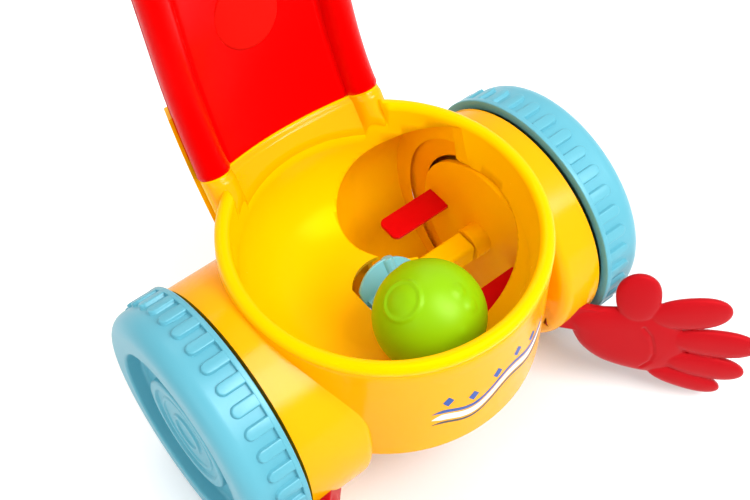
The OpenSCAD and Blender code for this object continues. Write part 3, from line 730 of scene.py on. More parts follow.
@dataclass
class Hand(Piece):
    """A puffy gathering hand on a horn's front.

    Each finger has a root, a tip, half its width and how far its root lies to the front. The hand's own root
    is the block inside the horn, given by its corners and their radii.
    """

    side: Side
    wrist: Point = (84.3, -66.5, -18.0)
    yaw: float = 46.0
    dip: float = 5.0
    lean: float = 15.0
    middle: float = -1.3
    voxel: float = 0.6
    soft: float = 0.5
    passes: int = 4
    fingers: tuple[tuple[Flat, Flat, float, float], ...] = (
        ((38.5, 11.5), (82.8, 22.3), 10.9, 1.2), ((53.0, -2.6), (104.8, -1.0), 9.4, 0.9),
        ((54.0, -17.4), (102.5, -21.2), 8.2, 0.9), ((48.5, -27.4), (92.6, -35.3), 6.4, 0.8),
        ((34.5, 6.4), (26.4, 38.2), 12.5, 1.6))
    finger_t: float = 3.9
    widest: float = 0.56
    taper: float = 2.3
    square: float = 0.85
    flat: float = 0.7
    palm: tuple[Flat, ...] = (
        (-5.0, 2.0), (-1.0, -5.4), (3.2, -12.2), (7.6, -17.6), (14.4, -22.8), (23.0, -26.8), (36.8, -29.6),
        (50.0, -30.0), (59.0, -26.0), (64.5, -17.0), (66.0, -6.0), (61.0, 3.0), (51.0, 11.0), (38.0, 15.0),
        (24.0, 13.5), (10.0, 11.0), (0.0, 8.8))
    palm_mid: Flat = (29.0, -8.0)
    palm_t: float = 4.4
    palm_round: Flat = (0.42, 1.1)
    crease: tuple[Flat, ...] = ((38.0, 4.0), (43.0, -1.0), (46.3, -7.7), (48.2, -14.0), (47.9, -19.4),
                                (44.0, -25.2))
    crease_deep: float = 0.8
    crease_w: float = 1.1
    root: tuple[Point, ...] = ((-15, -6.5, 1), (15, -6.5, 1), (15, 10.5, 1), (-15, 10.5, 1))
    root_t: float = 2.7

    def plane(self) -> Matrix:
        """Gives the hand's plane: X along the fingers, Y up the hand, Z to its front.

        Returns:
            The matrix around the axle, in millimetres.
        """
        plane = Matrix.Translation(self.wrist)
        for degrees, axis in ((-self.yaw, "Z"), (self.dip, "Y"), (90 - self.lean, "X")):
            plane = plane @ Matrix.Rotation(math.radians(degrees), 4, axis)
        return plane

    def leaf(self, start: Flat, end: Flat, width: float, lift: float) -> Shape:
        """Builds one finger as a leaf with a round root and tip.

        Args:
            start: The finger's root.
            end: The fingertip.
            width: Half the greatest width.
            lift: How far its root lies to the front.

        Returns:
            The finger in the hand's plane.
        """
        a, b = Vector(start), Vector(end)
        way = (b - a).normalized()
        across = Vector((-way.y, way.x))
        rings = []
        for h in half_turn(33):
            s = (1 + math.sin(h)) / 2
            part = (self.widest - s) / (self.widest if s < self.widest else self.widest - 1)
            swell = math.sqrt(max(1e-4, 1 - part ** self.taper))
            ring = []
            for q in turns(28):
                c, d = (math.copysign(abs(v) ** self.square, v) for v in (math.cos(q), math.sin(q)))
                spot = a + (b - a) * s + across * (c * width * swell)
                ring.append((*spot, self.middle + lift * (1 - s) + d * self.finger_t * swell ** self.flat))
            rings.append(ring)
        return loft(rings)

    def cushion(self) -> Shape:
        """Builds the cushion-shaped palm.

        Returns:
            The palm in the hand's plane.
        """
        outline = []
        count = len(self.palm)
        for i in range(count):
            a, b, c, d = (Vector(self.palm[(i + k) % count]) for k in (-1, 0, 1, 2))
            for t in np.linspace(0, 1, 6, endpoint=False):
                outline.append(0.5 * (2 * b + (c - a) * t + (2 * a - 5 * b + 4 * c - d) * t ** 2
                                      + (3 * b - a - 3 * c + d) * t ** 3))
        middle = Vector(self.palm_mid)
        edge, dome = self.palm_round
        rings = []
        for h in half_turn(21):
            share = max(math.cos(h) ** edge, 0.01)
            z = self.middle + math.copysign(abs(math.sin(h)) ** dome, h) * self.palm_t
            rings.append([(*(middle + (p - middle) * share), z) for p in outline])
        return loft(rings)

    def shape(self) -> Shape:
        """Builds the hand's parts in its own plane.

        Returns:
            The parts, which overlap.
        """
        whole = Shape()
        for finger in self.fingers:
            whole.add(self.leaf(*finger))
        outline = rounded(self.root, 3)
        heights = (self.middle - self.root_t, self.middle + self.root_t)
        return whole.add(self.cushion()).add(loft([[(x, y, z) for x, y in outline] for z in heights]))

    def press(self, mesh: bpy.types.Mesh) -> None:
        """Presses the palm's crease into the hand's front.

        Args:
            mesh: The joined hand, still in its own plane, in metres around the origin.
        """
        lines = [(Vector(a), Vector(b) - Vector(a)) for a, b in zip(self.crease, self.crease[1:])]
        for vertex in mesh.vertices:
            if vertex.co.z / MM < self.middle:
                continue
            spot = vertex.co.xy / MM
            gap = min((spot - a - way * max(0.0, min(1.0, (spot - a).dot(way) / way.length_squared))).length
                      for a, way in lines)
            vertex.co.z -= self.crease_deep * MM * math.exp(-((gap / self.crease_w) ** 2))

    def build(self) -> None:
        """Makes the hand and sets it on the frame."""
        label = f"{self.side.label}_hand"
        draft = self.bench.mesh_object(f"{label}_draft", self.shape(), RED_HANDS, 60, centred=True)
        adjust(draft.modifiers.new("melt", "REMESH"), mode="VOXEL", voxel_size=self.voxel * MM)
        adjust(draft.modifiers.new("soften", "SMOOTH"), factor=self.soft, iterations=self.passes)
        piece = self.bench.settle(draft, f"{label}_puffy")
        self.press(piece.data)
        home = Matrix.Translation(AXLE) @ Matrix.Scale(self.side.value, 4, (1, 0, 0))
        piece.data.transform(home @ Matrix.Scale(MM, 4) @ self.plane() @ Matrix.Scale(1 / MM, 4))
        if self.side is Side.LEFT:
            piece.data.flip_normals()
        piece.data.materials.clear()
        piece.data.materials.append(self.bench.paint.material(RED_HANDS))
        piece.data.shade_smooth()
        self.bench.install(piece, Body.FRAME, RED_HANDS, label)


@dataclass
class HandleFront(Piece):
    """The handle's front: two round rails with a hollow panel between them.

    The panel's roll and top give a length and a fall, its groove the depth, the inset and the width, and the
    spot's line the change of its radius and its depth.
    """

    bend_r: float = 200.0
    bend_y: float = -90.034
    bend_z: float = 182.028
    slope_from: float = 57.0
    slope_to: float = 75.0
    length: float = 330.0
    arm: float = 244.0
    rail_x: float = 47.5
    rail_r: float = 8.5
    leg: float = 3.0
    seam: float = 0.9
    seam_up: float = 1.2
    toe: float = 3.6
    dome: float = 5.0
    dome_round: float = 0.6
    toe_swell: float = 0.06
    toe_run: float = 30.0
    top_dome: float = 3.0
    top_round: float = 0.7
    sag: float = 7.5
    panel_t: float = 2.9
    panel_toe: float = 2.0
    panel_lap: float = 1.5
    panel_roll: Flat = (2.6, 2.34)
    panel_top: Flat = (2.0, 1.8)
    groove: Point = (1.3, 0.7, 1.5)
    spot_r: float = 18.0
    spot_depth: float = 5.7
    spot_s: float = 1.5
    spot_line: tuple[Flat, ...] = (
        (0.4, 3.3), (0.4, 0.5), (0.0, 0.1), (-0.4, 0.0), (-9.0, 0.0), (-17.95, 0.0))

    def at(self, s: float, depth: float, across: float) -> Point:
        """Finds a place on the handle.

        Args:
            s: Way along the handle from the end of the bend, negative within the bend.
            depth: Depth behind the rails' middle line.
            across: Place across the handle.

        Returns:
            The place around the axle.
        """
        slope = math.radians(self.slope_to) + min(s, 0.0) / self.bend_r
        along = max(s, 0.0)
        reach = self.bend_r + depth
        return (across, self.bend_y + reach * math.sin(slope) + along * math.cos(slope),
                self.bend_z - reach * math.cos(slope) + along * math.sin(slope))

    @property
    def start(self) -> float:
        """Gives the way along the handle of its foot."""
        return -self.bend_r * math.radians(self.slope_to - self.slope_from)

    def stations(self, end: float) -> list[float]:
        """Gives the places where a section is set, from the foot to an end."""
        return [*np.linspace(self.start, 0, 24, endpoint=False), *np.linspace(0, end, 25)]

    def rail(self, side: Side) -> Shape:
        """Builds one rail with domed ends.

        Args:
            side: The rail's side.

        Returns:
            The rail around the axle.
        """
        middle = side.value * self.rail_x
        lip, edge = self.rail_r - self.seam, self.leg - self.seam_up
        outline = [(self.leg, -lip), (edge, -self.rail_r),
                   *((-d, w) for d, w in arc(self.rail_r, half_turn(33))),
                   (edge, self.rail_r), (self.leg, lip)]
        low = self.start - self.toe
        fullest = 1.0 + self.toe_swell
        rings = [(low + self.dome * (1 - math.cos(q)), math.sin(q) ** self.dome_round * fullest)
                 for q in np.linspace(0.1, QUARTER, 10)]
        rings += [(s, 1.0 + self.toe_swell * max(1.0 - (s - low) / self.toe_run, 0.0) ** 2)
                  for s in self.stations(self.length) if low + self.dome < s < self.length - self.top_dome]
        rings += [(self.length - self.top_dome * (1 - math.sin(q)), math.cos(q) ** self.top_round)
                  for q in np.linspace(0, 1.45, 7)]
        return loft([[self.at(s, self.leg + (d - self.leg) * k, middle + w * k) for d, w in outline]
                     for s, k in rings])

    def panel_depth(self, across: float) -> float:
        """Gives the depth of the panel's front face at a place across the handle."""
        half = self.rail_x - self.rail_r
        radius = (half ** 2 + self.sag ** 2) / (2 * self.sag)
        return self.sag - radius + math.sqrt(max(radius ** 2 - across ** 2, 0.0))

    def panel(self) -> Shape:
        """Builds the hollow panel, with a rolled lower edge and a groove beside each rail.

        Returns:
            The panel around the axle.
        """
        half = self.rail_x - self.rail_r
        deep, inset, wide = self.groove
        front = [(self.panel_depth(w) + deep * math.exp(-(((abs(w) - half + inset) / wide) ** 2)), w)
                 for w in np.linspace(-half - self.panel_lap, half + self.panel_lap, 101)]
        rear = [(d + self.panel_t, w) for d, w in reversed(front)]
        foot, (roll, fall) = self.start - self.panel_toe, self.panel_roll
        rings = [(foot + roll * (1 - math.cos(q)), fall * (1 - math.sin(q)))
                 for q in np.linspace(0, QUARTER, 8)]
        roll, fall = self.panel_top
        rings += [(s, 0.0) for s in self.stations(self.arm - roll) if s > rings[-1][0] + 0.2]
        rings += [(self.arm - roll * (1 - math.sin(q)), fall * (1 - math.cos(q)))
                  for q in np.linspace(0.3, QUARTER, 5)]
        return loft([[self.at(s, d + drop, w) for d, w in front] + [self.at(s, d, w) for d, w in rear]
                     for s, drop in rings])

    def spot(self) -> Shape:
        """Builds the flat round boss on the panel.

        Returns:
            The boss around the axle.
        """
        rings = []
        for wider, deeper in self.spot_line:
            outline = arc(self.spot_r + wider, turns(72))
            rings.append([self.at(self.spot_s + y, self.spot_depth + deeper, x) for x, y in outline])
        return loft(rings)

    def build(self) -> None:
        """Makes the handle's front and its spot, and sets them on the frame."""
        shape = self.rail(Side.LEFT).add(self.rail(Side.RIGHT)).add(self.panel())
        self.bench.add("handle_channel", shape, RED_HANDLE, Body.FRAME, "handle_front", sharp=45)
        self.bench.add("handle_spot", self.spot(), RED_SPOT, Body.FRAME, sharp=45)


@dataclass
class Throat(Piece):
    """The yellow saddle that carries the handle's channel and ridges on through the bowl's lip.

    It folds down at the bowl's wall by the bend, with the ease and the tuck that hide its lower end.
    """

    handle: HandleFront
    wall_r: float = 75.2
    half: float = 55.4
    proud: float = 0.12
    swell: float = 1.8
    swell_run: float = 3.2
    deep: float = 5.0
    bend: float = 3.2
    ease: float = 0.5
    tuck: Point = (0.0, 2.4, -0.4)
    slope: float = 1.5
    low: float = -101.0
    room: float = 60.0
    over: float = 8.0

    def front(self, across: float) -> float:
        """Gives the depth of the handle's front at a place across it."""
        off = abs(across) - self.handle.rail_x
        if off < -self.handle.rail_r:
            return self.handle.panel_depth(across)
        return -math.sqrt(max(self.handle.rail_r ** 2 - off ** 2, 0.0))

    def edge(self, across: float, depth: float) -> float:
        """Finds where the channel meets the bowl's inner wall.

        Args:
            across: The place across the handle.
            depth: Depth behind the rails' middle line.

        Returns:
            The way along the handle.
        """
        high, low = self.handle.start, self.low
        for _ in range(40):
            middle = (high + low) / 2
            x, y, _ = self.handle.at(middle, depth, across)
            if math.hypot(x, y - BOWL_Y) > self.wall_r:
                high = middle
            else:
                low = middle
        return high

    def section(self, across: float) -> list[Point]:
        """Draws the saddle's section at a place across the handle.

        Args:
            across: The place across the handle.

        Returns:
            The section's points around the axle.
        """
        depth = self.front(across) - self.proud
        foot = self.handle.start - self.handle.panel_toe
        inward = math.copysign(min(abs(across), self.handle.rail_x), across)
        end = self.edge(inward, self.front(inward) - self.proud - self.swell)
        line = []
        for s in np.linspace(foot, end + self.bend, 18):
            k = min((foot - s) / self.swell_run, 1.0)
            line.append(self.handle.at(s, depth - self.swell * (3 - 2 * k) * k ** 2, across))
        depth -= self.swell
        start, fold = Vector(line[-1]), Vector(self.handle.at(end, depth, across))
        below = fold - Vector((0, self.ease, self.bend))
        for t in np.linspace(0.12, 1, 8):
            line.append(tuple((1 - t) ** 2 * start + 2 * t * (1 - t) * fold + t ** 2 * below))
        line.append(tuple(below + Vector(self.tuck)))
        return line + [self.handle.at(s, depth + self.deep, across) for s in (end + self.bend, foot)]

    def build(self) -> None:
        """Makes the saddle and sets it on the frame."""
        shape = loft([self.section(w) for w in np.linspace(-self.half, self.half, 181)])
        self.bench.add("throat_saddle", shape, YELLOW_SHELL_SHADED, Body.FRAME)

    def way(self) -> Shape:
        """Builds the room in front of the channel, which the lip leaves free.

        Returns:
            The room around the axle.
        """
        reach = self.handle.rail_x
        side, top = reach + self.slope, -self.handle.rail_r - self.slope
        outline = [(-self.room, side), (-self.room, -side), (top, -side),
                   *((self.front(w), w) for w in np.linspace(-reach, reach, 121)), (top, side)]
        return loft([[self.handle.at(s, depth, w) for depth, w in outline]
                     for s in np.linspace(self.low, self.handle.start + self.over, 40)])


@dataclass
class OpenBowl(Piece):
    """The bowl with its lip laid open where the handle's channel runs into it."""

    throat: Throat

    def build(self) -> None:
        """Makes the open bowl and sets it in the node's place."""
        draft = self.bench.node_copy("bowl", YELLOW)
        room = self.bench.mesh_object("bowl_room", self.throat.way(), YELLOW, 50)
        adjust(draft.modifiers.new("open_lip", "BOOLEAN"), operation="DIFFERENCE", solver="EXACT",
               object=room)
        piece = self.bench.settle(draft, "bowl_open")
        bpy.data.objects.remove(room)
        self.bench.install(piece, Body.FRAME, YELLOW, "bowl")


@dataclass
class LipBand(Piece):
    """The rolled outside of the bowl's lip, which runs smoothly into the skirt.

    Its lines give degrees around the bead or drops down the skirt, each with its height over the skin.
    """

    bead_r: float = 3.85
    bead_line: tuple[Flat, ...] = ((64, -0.05), (50, 0.08), (36, 0.14), (18, 0.14), (0, 0.14))
    skirt_line: tuple[Flat, ...] = ((3, 0.14), (6, 0.08), (8, -0.05))
    back: float = 0.8
    inner: Flat = (1.0, 2.6)
    gap: float = 44.0

    def build(self) -> None:
        """Makes the band and sets it on the frame."""
        (edge, z0), (low_r, low_z) = SKIRT_TOP, SKIRT_LOW
        r0 = edge - self.bead_r
        profile = []
        for degrees, lift in self.bead_line:
            a, r = math.radians(degrees), self.bead_r + lift
            profile.append((r0 + r * math.cos(a), z0 + r * math.sin(a)))
        lean = (low_r - edge) / (z0 - low_z)
        profile += [(edge + lean * drop + lift, z0 - drop) for drop, lift in self.skirt_line]
        profile += [(edge - self.back, z0 - self.skirt_line[-1][0]), (edge - self.back, z0),
                    (r0 + self.inner[0], z0 + self.inner[1])]
        ends = math.radians(self.gap), math.radians(360 - self.gap)
        rings = [[(r * math.sin(q), BOWL_Y + r * math.cos(q), z) for r, z in profile]
                 for q in np.linspace(*ends, 221)]
        self.bench.add("lip_band", loft(rings), YELLOW_SHELL_SHADED, Body.FRAME)


@dataclass
class SoftPaddle(Piece):
    """A CAD paddle shown again with rounded edges."""

    node: str
    radius: float = 0.6
    sharp: float = math.radians(40)

    def build(self) -> None:
        """Makes the rounded copy and sets it in the node's place."""
        draft = self.bench.node_copy(self.node, RED_PADDLES)
        mesh = draft.data
        work = bmesh.new()
        work.from_mesh(mesh)
        bmesh.ops.remove_doubles(work, verts=work.verts, dist=CAD_MERGE)
        bmesh.ops.dissolve_limit(work, angle_limit=math.radians(1.0), verts=work.verts, edges=work.edges)
        work.to_mesh(mesh)
        work.free()
        if "custom_normal" in mesh.attributes:
            mesh.attributes.remove(mesh.attributes["custom_normal"])
        adjust(draft.modifiers.new("soft_edges", "BEVEL"), width=self.radius * MM, segments=3,
               limit_method="ANGLE", angle_limit=self.sharp)
        piece = self.bench.settle(draft, f"{self.node}_soft")
        piece.data.shade_smooth()
        piece.data.set_sharp_from_angle(angle=self.sharp)
        self.bench.install(piece, Body.WHEELSET, RED_PADDLES, self.node)


@dataclass
class Hub(Piece):
    """The vaned hub in the bowl's floor, with a round rib in the middle of each vane."""

    middle: float = 8.0
    half: float = 17.5
    radius: float = 21.5
    turn: float = 36.0
    thick: float = 2.0
    soft: float = 0.5
    rib_x: float = 5.0
    rib_r: float = 3.3
    rib_end: float = 20.9
    core_r: float = 6.0
    core_half: float = 15.5

    def vane(self) -> Shape:
        """Builds one flat vane with soft edges, in the plane of the axle and the upright.

        Returns:
            The vane around the hub's middle.
        """
        corner = math.acos(self.half / self.radius)
        outline = arc(self.radius, [base + a for base in (0.0, math.pi)
                                    for a in np.linspace(corner, math.pi - corner, 33)])
        rings = []
        for q in half_turn(9):
            shrink = 1 - self.soft * (1 - math.cos(q)) / self.radius
            side = (self.thick / 2 - self.soft) * math.copysign(1.0, q) + self.soft * math.sin(q)
            rings.append([(x * shrink, side, z * shrink) for x, z in outline])
        return loft(rings)

    def rib(self) -> Shape:
        """Builds the round rib that stands on the axle, with a softly edged flat end.

        Returns:
            The rib around the hub's middle.
        """
        spots = [(0.0, self.rib_r), (self.rib_end - self.soft, self.rib_r)]
        spots += [(self.rib_end - self.soft * (1 - math.sin(q)), self.rib_r - self.soft * (1 - math.cos(q)))
                  for q in np.linspace(0.3, QUARTER, 5)]
        return loft([[(self.rib_x + x, y, z) for x, y in arc(r, turns(40))] for z, r in spots])

    def core(self) -> Shape:
        """Builds the barrel on the rod, around the hub's middle."""
        outline = arc(self.core_r, turns(48))
        return loft([[(x, y, z) for y, z in outline] for x in (-self.core_half, self.core_half)])

    def build(self) -> None:
        """Makes the hub and sets it on the wheelset."""
        shape = self.core()
        for quarter in range(4):
            turn = Matrix.Rotation(quarter * QUARTER, 4, "X")
            shape.add(self.rib().moved(turn))
            if quarter < 2:
                shape.add(self.vane().moved(turn))
        place = Matrix.Translation((self.middle, 0, 0)) @ Matrix.Rotation(-math.radians(self.turn), 4, "X")
        self.bench.add("vaned_hub", shape.moved(place), BLUE_HUB, Body.WHEELSET, "drive_hub", sharp=40)


@dataclass
class Screws(Piece):
    """Cross-head screws in the places of the CAD screws."""

    node: str
    tree: RepeatTree
    head_r: float = 3.2
    head_t: float = 2.0
    head_line: tuple[Flat, ...] = ((1.0, 0.0), (1.0, 0.45), (0.86, 0.8), (0.62, 1.0))
    shank_r: float = 1.45
    long: float = 14.0
    point: Flat = (0.35, 2.2)
    arm: float = 0.5
    arm_long: float = 0.58
    cross_deep: float = 1.1
    cross_end: float = 0.8

    def screw(self) -> Shape:
        """Builds one screw that points along +Z, with its head's underside at the origin.

        Returns:
            The screw around the origin.
        """
        angles = turns(32)
        rim = [(self.shank_r * self.point[0], self.long), (self.shank_r, self.long - self.point[1]),
               (self.shank_r, 0.0)]
        rim += [(self.head_r * r, -self.head_t * z) for r, z in self.head_line]
        rings = [[(x, y, z) for x, y in arc(r, angles)] for r, z in rim]
        cross = []
        for q in angles:
            near = abs((q + QUARTER / 2) % QUARTER - QUARTER / 2)
            r = self.arm
            if near < QUARTER / 2:
                r = min(self.head_r * self.arm_long, self.arm / max(math.sin(near), 0.05))
            cross += arc(r, [q])
        for share, deep in ((1.0, 0.0), (self.cross_end, self.cross_deep)):
            rings.append([(x * share, y * share, deep - self.head_t) for x, y in cross])
        return loft(rings)

    def islands(self) -> list[np.ndarray]:
        """Splits the CAD screws into single ones, in the same order on each run.

        Returns:
            The points of each screw, in metres.
        """
        work = bmesh.new()
        work.from_mesh(frame["nodes"][self.node].data)
        bmesh.ops.remove_doubles(work, verts=work.verts, dist=CAD_MERGE)
        left = dict.fromkeys(work.verts)
        found = []
        while left:
            todo, island = [left.popitem()[0]], []
            while todo:
                vertex = todo.pop()
                island.append(vertex.co[:])
                for edge in vertex.link_edges:
                    other = edge.other_vert(vertex)
                    if other in left:
                        del left[other]
                        todo.append(other)
            found.append(np.array(island))
        work.free()
        return found

    def places(self) -> list[tuple[Vector, Vector]]:
        """Finds each CAD screw's head and the way that it points.

        Returns:
            Pairs of a place in metres and a direction.
        """
        found = []
        for points in self.islands():
            spread = points - points.mean(0)
            way = np.linalg.svd(spread, full_matrices=False)[2][0]
            along = spread @ way
            wide = np.linalg.norm(spread - np.outer(along, way), axis=1)
            if along[wide.argmax()] > 0:
                way, along = -way, -along
            middle = points[along < along.min() + 1e-4].mean(0)
            found.append((Vector(middle) + Vector(way) * self.head_t * MM, Vector(way)))
        return found

    def build(self) -> None:
        """Makes the screws and sets them on the frame."""
        places = self.places()
        mesh = bpy.data.meshes.new(f"{self.node}_places")
        mesh.from_pydata([p for p, _ in places], [], [])
        aims = mesh.attributes.new("aim", "FLOAT_VECTOR", "POINT")
        aims.data.foreach_set("vector", [c for _, way in places for c in way])
        one = self.bench.mesh_object("cross_screw", self.screw(), STEEL, 30, centred=True)
        piece = self.tree.apply(put(mesh.name, mesh), f"{self.node}_cross", Shape=one,
                                Finish=self.bench.paint.material(STEEL))
        bpy.data.objects.remove(one)
        self.bench.install(piece, Body.FRAME, STEEL, self.node)


@dataclass
class FrontPrint(Piece):
    """A plain printed motif on the skirt's front: wavy ribbons and a row of diamonds.

    Each ribbon has its height over the middle line, half its width and its finish.
    """

    proud: float = 0.06
    sunk: float = -0.3
    span: Flat = (-34.0, 44.0)
    middle_z: float = 24.0
    climb: float = 0.16
    wave_h: float = 4.0
    wave_long: float = 6.8
    end_w: float = 0.06
    end_rate: float = 5.0
    ribbons: tuple[tuple[float, float, Finish], ...] = (
        (0.0, 2.6, PRINT_WHITE), (5.4, 1.3, PRINT_BLUE), (-5.2, 0.9, PRINT_SLATE))
    diamonds: tuple[float, ...] = (-26.0, -12.0, 2.0, 16.0, 30.0)
    diamond_up: float = 14.0
    diamond_half: Flat = (2.94, 4.2)

    def on_skirt(self, across: float, z: float, lift: float) -> Point:
        """Finds a place on the skirt.

        Args:
            across: Way around the skirt from its front, to the right.
            z: Height over the axle.
            lift: Distance off the skin.

        Returns:
            The place around the axle.
        """
        (top_r, top_z), (low_r, low_z) = SKIRT_TOP, SKIRT_LOW
        radius = top_r + (low_r - top_r) * (top_z - z) / (top_z - low_z) + lift
        angle = across / top_r
        return (radius * math.sin(angle), BOWL_Y - radius * math.cos(angle), z)

    def wave(self, across: float) -> float:
        """Gives the height of the motif's middle line at a place around the skirt."""
        return self.middle_z + self.climb * across + self.wave_h * math.sin(across / self.wave_long)

    def diamond(self, across: float) -> Shape:
        """Builds one printed diamond.

        Args:
            across: Its middle around the skirt.

        Returns:
            The diamond as a thin skin on the skirt.
        """
        z = self.wave(across) + self.diamond_up
        wide, high = self.diamond_half
        outline = ((1, 0), (0.5, 0.5), (0, 1), (-0.5, 0.5), (-1, 0), (-0.5, -0.5), (0, -1), (0.5, -0.5))
        levels = ((1.0, self.sunk), (1.0, self.proud), (0.5, self.proud), (0.01, self.proud))
        return loft([[self.on_skirt(across + wide * share * x, z + high * share * y, lift)
                      for x, y in outline] for share, lift in levels])

    def ribbon(self, shift: float, half: float) -> Shape:
        """Builds one wavy ribbon with tapered ends.

        Args:
            shift: Its height over the motif's middle line.
            half: Half its greatest width.

        Returns:
            The ribbon as a thin skin on the skirt.
        """
        rings = []
        for t in np.linspace(0, 1, 81):
            a = self.span[0] + (self.span[1] - self.span[0]) * t
            z = self.wave(a) + shift
            wide = half * min(1.0, self.end_w + self.end_rate * math.sin(math.pi * t))
            rings.append([self.on_skirt(a, z + side, lift) for side, lift in (
                (-wide, self.sunk), (-wide, self.proud), (wide, self.proud), (wide, self.sunk))])
        return loft(rings)

    def build(self) -> None:
        """Makes the print and sets it on the frame."""
        row = Shape()
        for across in self.diamonds:
            row.add(self.diamond(across))
        skins = [(self.ribbon(shift, half), finish) for shift, half, finish in self.ribbons]
        for number, (shape, finish) in enumerate([*skins, (row, PRINT_BLUE)], 1):
            self.bench.add(f"front_print_{number}", shape, finish, Body.FRAME, sharp=30)


PLAIN_NODES = {
    "bowl": YELLOW, "body_shell": YELLOW_SHELL_SHADED, "base_pan": YELLOW_SHELL_SHADED, "neck": YELLOW,
    "grip_bar": YELLOW_SHELL_SHADED, "ball_scroll": LANE_YELLOW_SHADED, "rotor_disc": LANE_YELLOW_SHADED, "handle_back": RED_HANDLE,
    "axle_rod": STEEL, "axle_clips": STEEL, "left_bush": NYLON, "right_bush": NYLON}


def dress_nodes(paint: PaintShop) -> None:
    """Gives the CAD nodes that no mesh is drawn for their materials.

    Args:
        paint: Makes the materials.
    """
    for name, finish in PLAIN_NODES.items():
        frame["nodes"][name].material_slots[0].material = paint.material(finish)
        LOG.info("%s takes the finish %s", name, finish.slot)


@dataclass(frozen=True)
class Lamp:
    """A soft box that faces the toy, with its way from the toy, distance, sides in metres and watts."""

    name: str
    way: Point
    far: float
    size: Flat
    power: float
    gleam: bool = False

    def build(self) -> None:
        """Sets the lamp in the studio. A gleam only shows in reflections."""
        light = bpy.data.lights.new(self.name, "AREA")
        adjust(light, shape="RECTANGLE", size=self.size[0], size_y=self.size[1], energy=self.power)
        box = put(self.name, light)
        direction = Vector(self.way).normalized()
        box.location = AXLE + LAMP_AIM + direction * self.far
        box.rotation_euler = direction.to_track_quat("Z", "Y").to_euler()
        box.visible_diffuse = not self.gleam


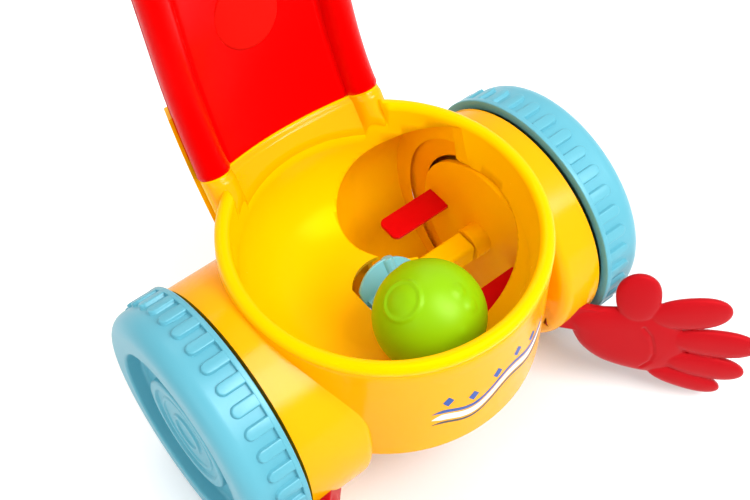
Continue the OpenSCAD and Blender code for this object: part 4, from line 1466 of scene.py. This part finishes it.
@dataclass
class Studio:
    """The pale floor, the soft lights and the camera."""

    camera_at: Point = (-229.846, -267.760, 543.292)
    azimuth: float = -39.98
    elevation: float = 54.479
    roll: float = 1.257
    lens: float = 57.404
    sky: float = 0.8
    pale: float = 0.9
    glow: float = 0.3
    # shade, shade_at and shade_from set the ellipse around the toy where the floor's camera-only glow fades
    # out: painted shade on the floor, on top of the real shadow
    shade: Flat = (0.2, 0.17)
    shade_at: Flat = (0.05, -0.03)
    shade_from: float = 0.6
    floor_size: float = 20.0
    lamps: tuple[Lamp, ...] = (
        Lamp("key_box", (0.24, -0.54, 0.8), 1.5, (0.95, 0.8), 19.0),
        Lamp("gleam_box", (0.25, -0.45, 0.86), 1.5, (0.7, 1.4), 34.0, gleam=True),
        Lamp("left_box", (-0.9, -0.1, 0.5), 1.6, (0.8, 0.8), 3.0),
        Lamp("rear_box", (0.2, 0.75, 0.9), 1.7, (1.0, 0.6), 5.0))

    def camera(self) -> None:
        """Makes the camera at the picture's viewing angle."""
        a, e, r = (math.radians(v) for v in (self.azimuth, self.elevation, self.roll))
        back = Vector((math.sin(a) * math.cos(e), -math.cos(a) * math.cos(e), math.sin(e)))
        right = Vector((math.cos(a), math.sin(a), 0.0))
        up = back.cross(right)
        across = right * math.cos(r) + up * math.sin(r)
        above = up * math.cos(r) - right * math.sin(r)
        lens = bpy.data.cameras.new("view")
        adjust(lens, lens=self.lens, sensor_width=36.0, sensor_fit="HORIZONTAL", clip_start=0.01)
        eye = put("view", lens)
        eye.matrix_world = Matrix((across, above, back)).transposed().to_4x4()
        eye.location = AXLE + Vector(self.camera_at) * MM
        bpy.context.scene.camera = eye

    def floor_skin(self) -> bpy.types.Material:
        """Makes the floor's white: a glow seen only by the camera lifts it and fades out in an ellipse around
        the toy, which keeps the toy's real shadow and also paints some shade on the floor there.

        Returns:
            The material.
        """
        made = bpy.data.materials.new("pale_floor")
        made.use_nodes = True
        made.node_tree.nodes.clear()
        net = Wiring(made.node_tree)
        (wide, long), (x, y) = self.shade, self.shade_at
        net.add("out", "ShaderNodeOutputMaterial")
        net.add("matte", "ShaderNodeBsdfDiffuse", {"Color": (self.pale, self.pale, self.pale, 1)})
        net.add("lift", "ShaderNodeEmission")
        net.add("path", "ShaderNodeLightPath")
        net.add("place", "ShaderNodeTexCoord")
        net.add("around", "ShaderNodeVectorMath", {
            1: (1 / wide, 1 / long, 0.0), 2: (-(AXLE.x + x) / wide, -(AXLE.y + y) / long, 0.0)},
            operation="MULTIPLY_ADD")
        net.add("far", "ShaderNodeVectorMath", operation="LENGTH")
        net.add("clear", "ShaderNodeMapRange", {
            "From Min": self.shade_from, "From Max": 1.0, "To Max": self.glow},
            interpolation_type="SMOOTHSTEP")
        net.add("share", "ShaderNodeMath", operation="MULTIPLY")
        net.add("both", "ShaderNodeAddShader")
        net.join(("place.Object", "around.0"), ("around.Vector", "far.0"), ("far.Value", "clear.Value"),
                 ("clear.Result", "share.1"), ("path.Is Camera Ray", "share.0"),
                 ("share.Value", "lift.Strength"),
                 ("matte.BSDF", "both.0"), ("lift.Emission", "both.1"), ("both.Shader", "out.Surface"))
        return made

    def floor(self) -> None:
        """Makes the white floor, which keeps the toy's shadow."""
        half = self.floor_size / 2
        mesh = bpy.data.meshes.new("floor")
        mesh.from_pydata([(-half, -half, 0), (half, -half, 0), (half, half, 0), (-half, half, 0)], [],
                         [(0, 1, 2, 3)])
        mesh.materials.append(self.floor_skin())
        ground = put("floor", mesh)

    def world(self) -> None:
        """Fills the studio with even white light."""
        scene = bpy.context.scene
        scene.world = bpy.data.worlds.new("studio")
        scene.world.use_nodes = True
        back = scene.world.node_tree.nodes["Background"]
        back.inputs["Color"].default_value = (1, 1, 1, 1)
        back.inputs["Strength"].default_value = self.sky
        scene.view_settings.view_transform = "Standard"

    def build(self) -> None:
        """Sets up the whole studio."""
        self.camera()
        self.world()
        self.floor()
        for lamp in self.lamps:
            lamp.build()
        LOG.info("studio is set")


def corners(box: Iterable[Vector]) -> list[list[float]]:
    """Turns a box, its lowest and highest corner, into plain lists of numbers."""
    return [[round(float(v), 6) for v in corner] for corner in box]


def main() -> None:
    """Builds the toy's pieces in order, then the studio."""
    logging.basicConfig(level=logging.INFO, format="%(name)s: %(message)s")
    for spare in [o for o in bpy.data.objects if o.name in {"Cube", "Light", "Camera"}]:
        bpy.data.objects.remove(spare)
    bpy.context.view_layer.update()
    paint = PaintShop()
    bench = Workbench(paint)
    around, aimed = RepeatTree.around_axle(), RepeatTree.on_points()
    dress_nodes(paint)
    handle = HandleFront(bench)
    throat = Throat(bench, handle)
    pieces: list[Piece] = []
    for side in Side:
        pieces += [Wheel(bench, side, around), Hand(bench, side)]
    pieces += [Ball(bench), handle, throat, OpenBowl(bench, throat), LipBand(bench)]
    pieces += [SoftPaddle(bench, node) for node in ("front_paddle", "rear_paddle")]
    pieces.append(Hub(bench))
    pieces += [Screws(bench, node, aimed) for node in ("body_screws", "handle_screws")]
    pieces.append(FrontPrint(bench))
    for piece in pieces:
        piece.build()
    Studio().build()


if __name__ == "__main__":
    main()
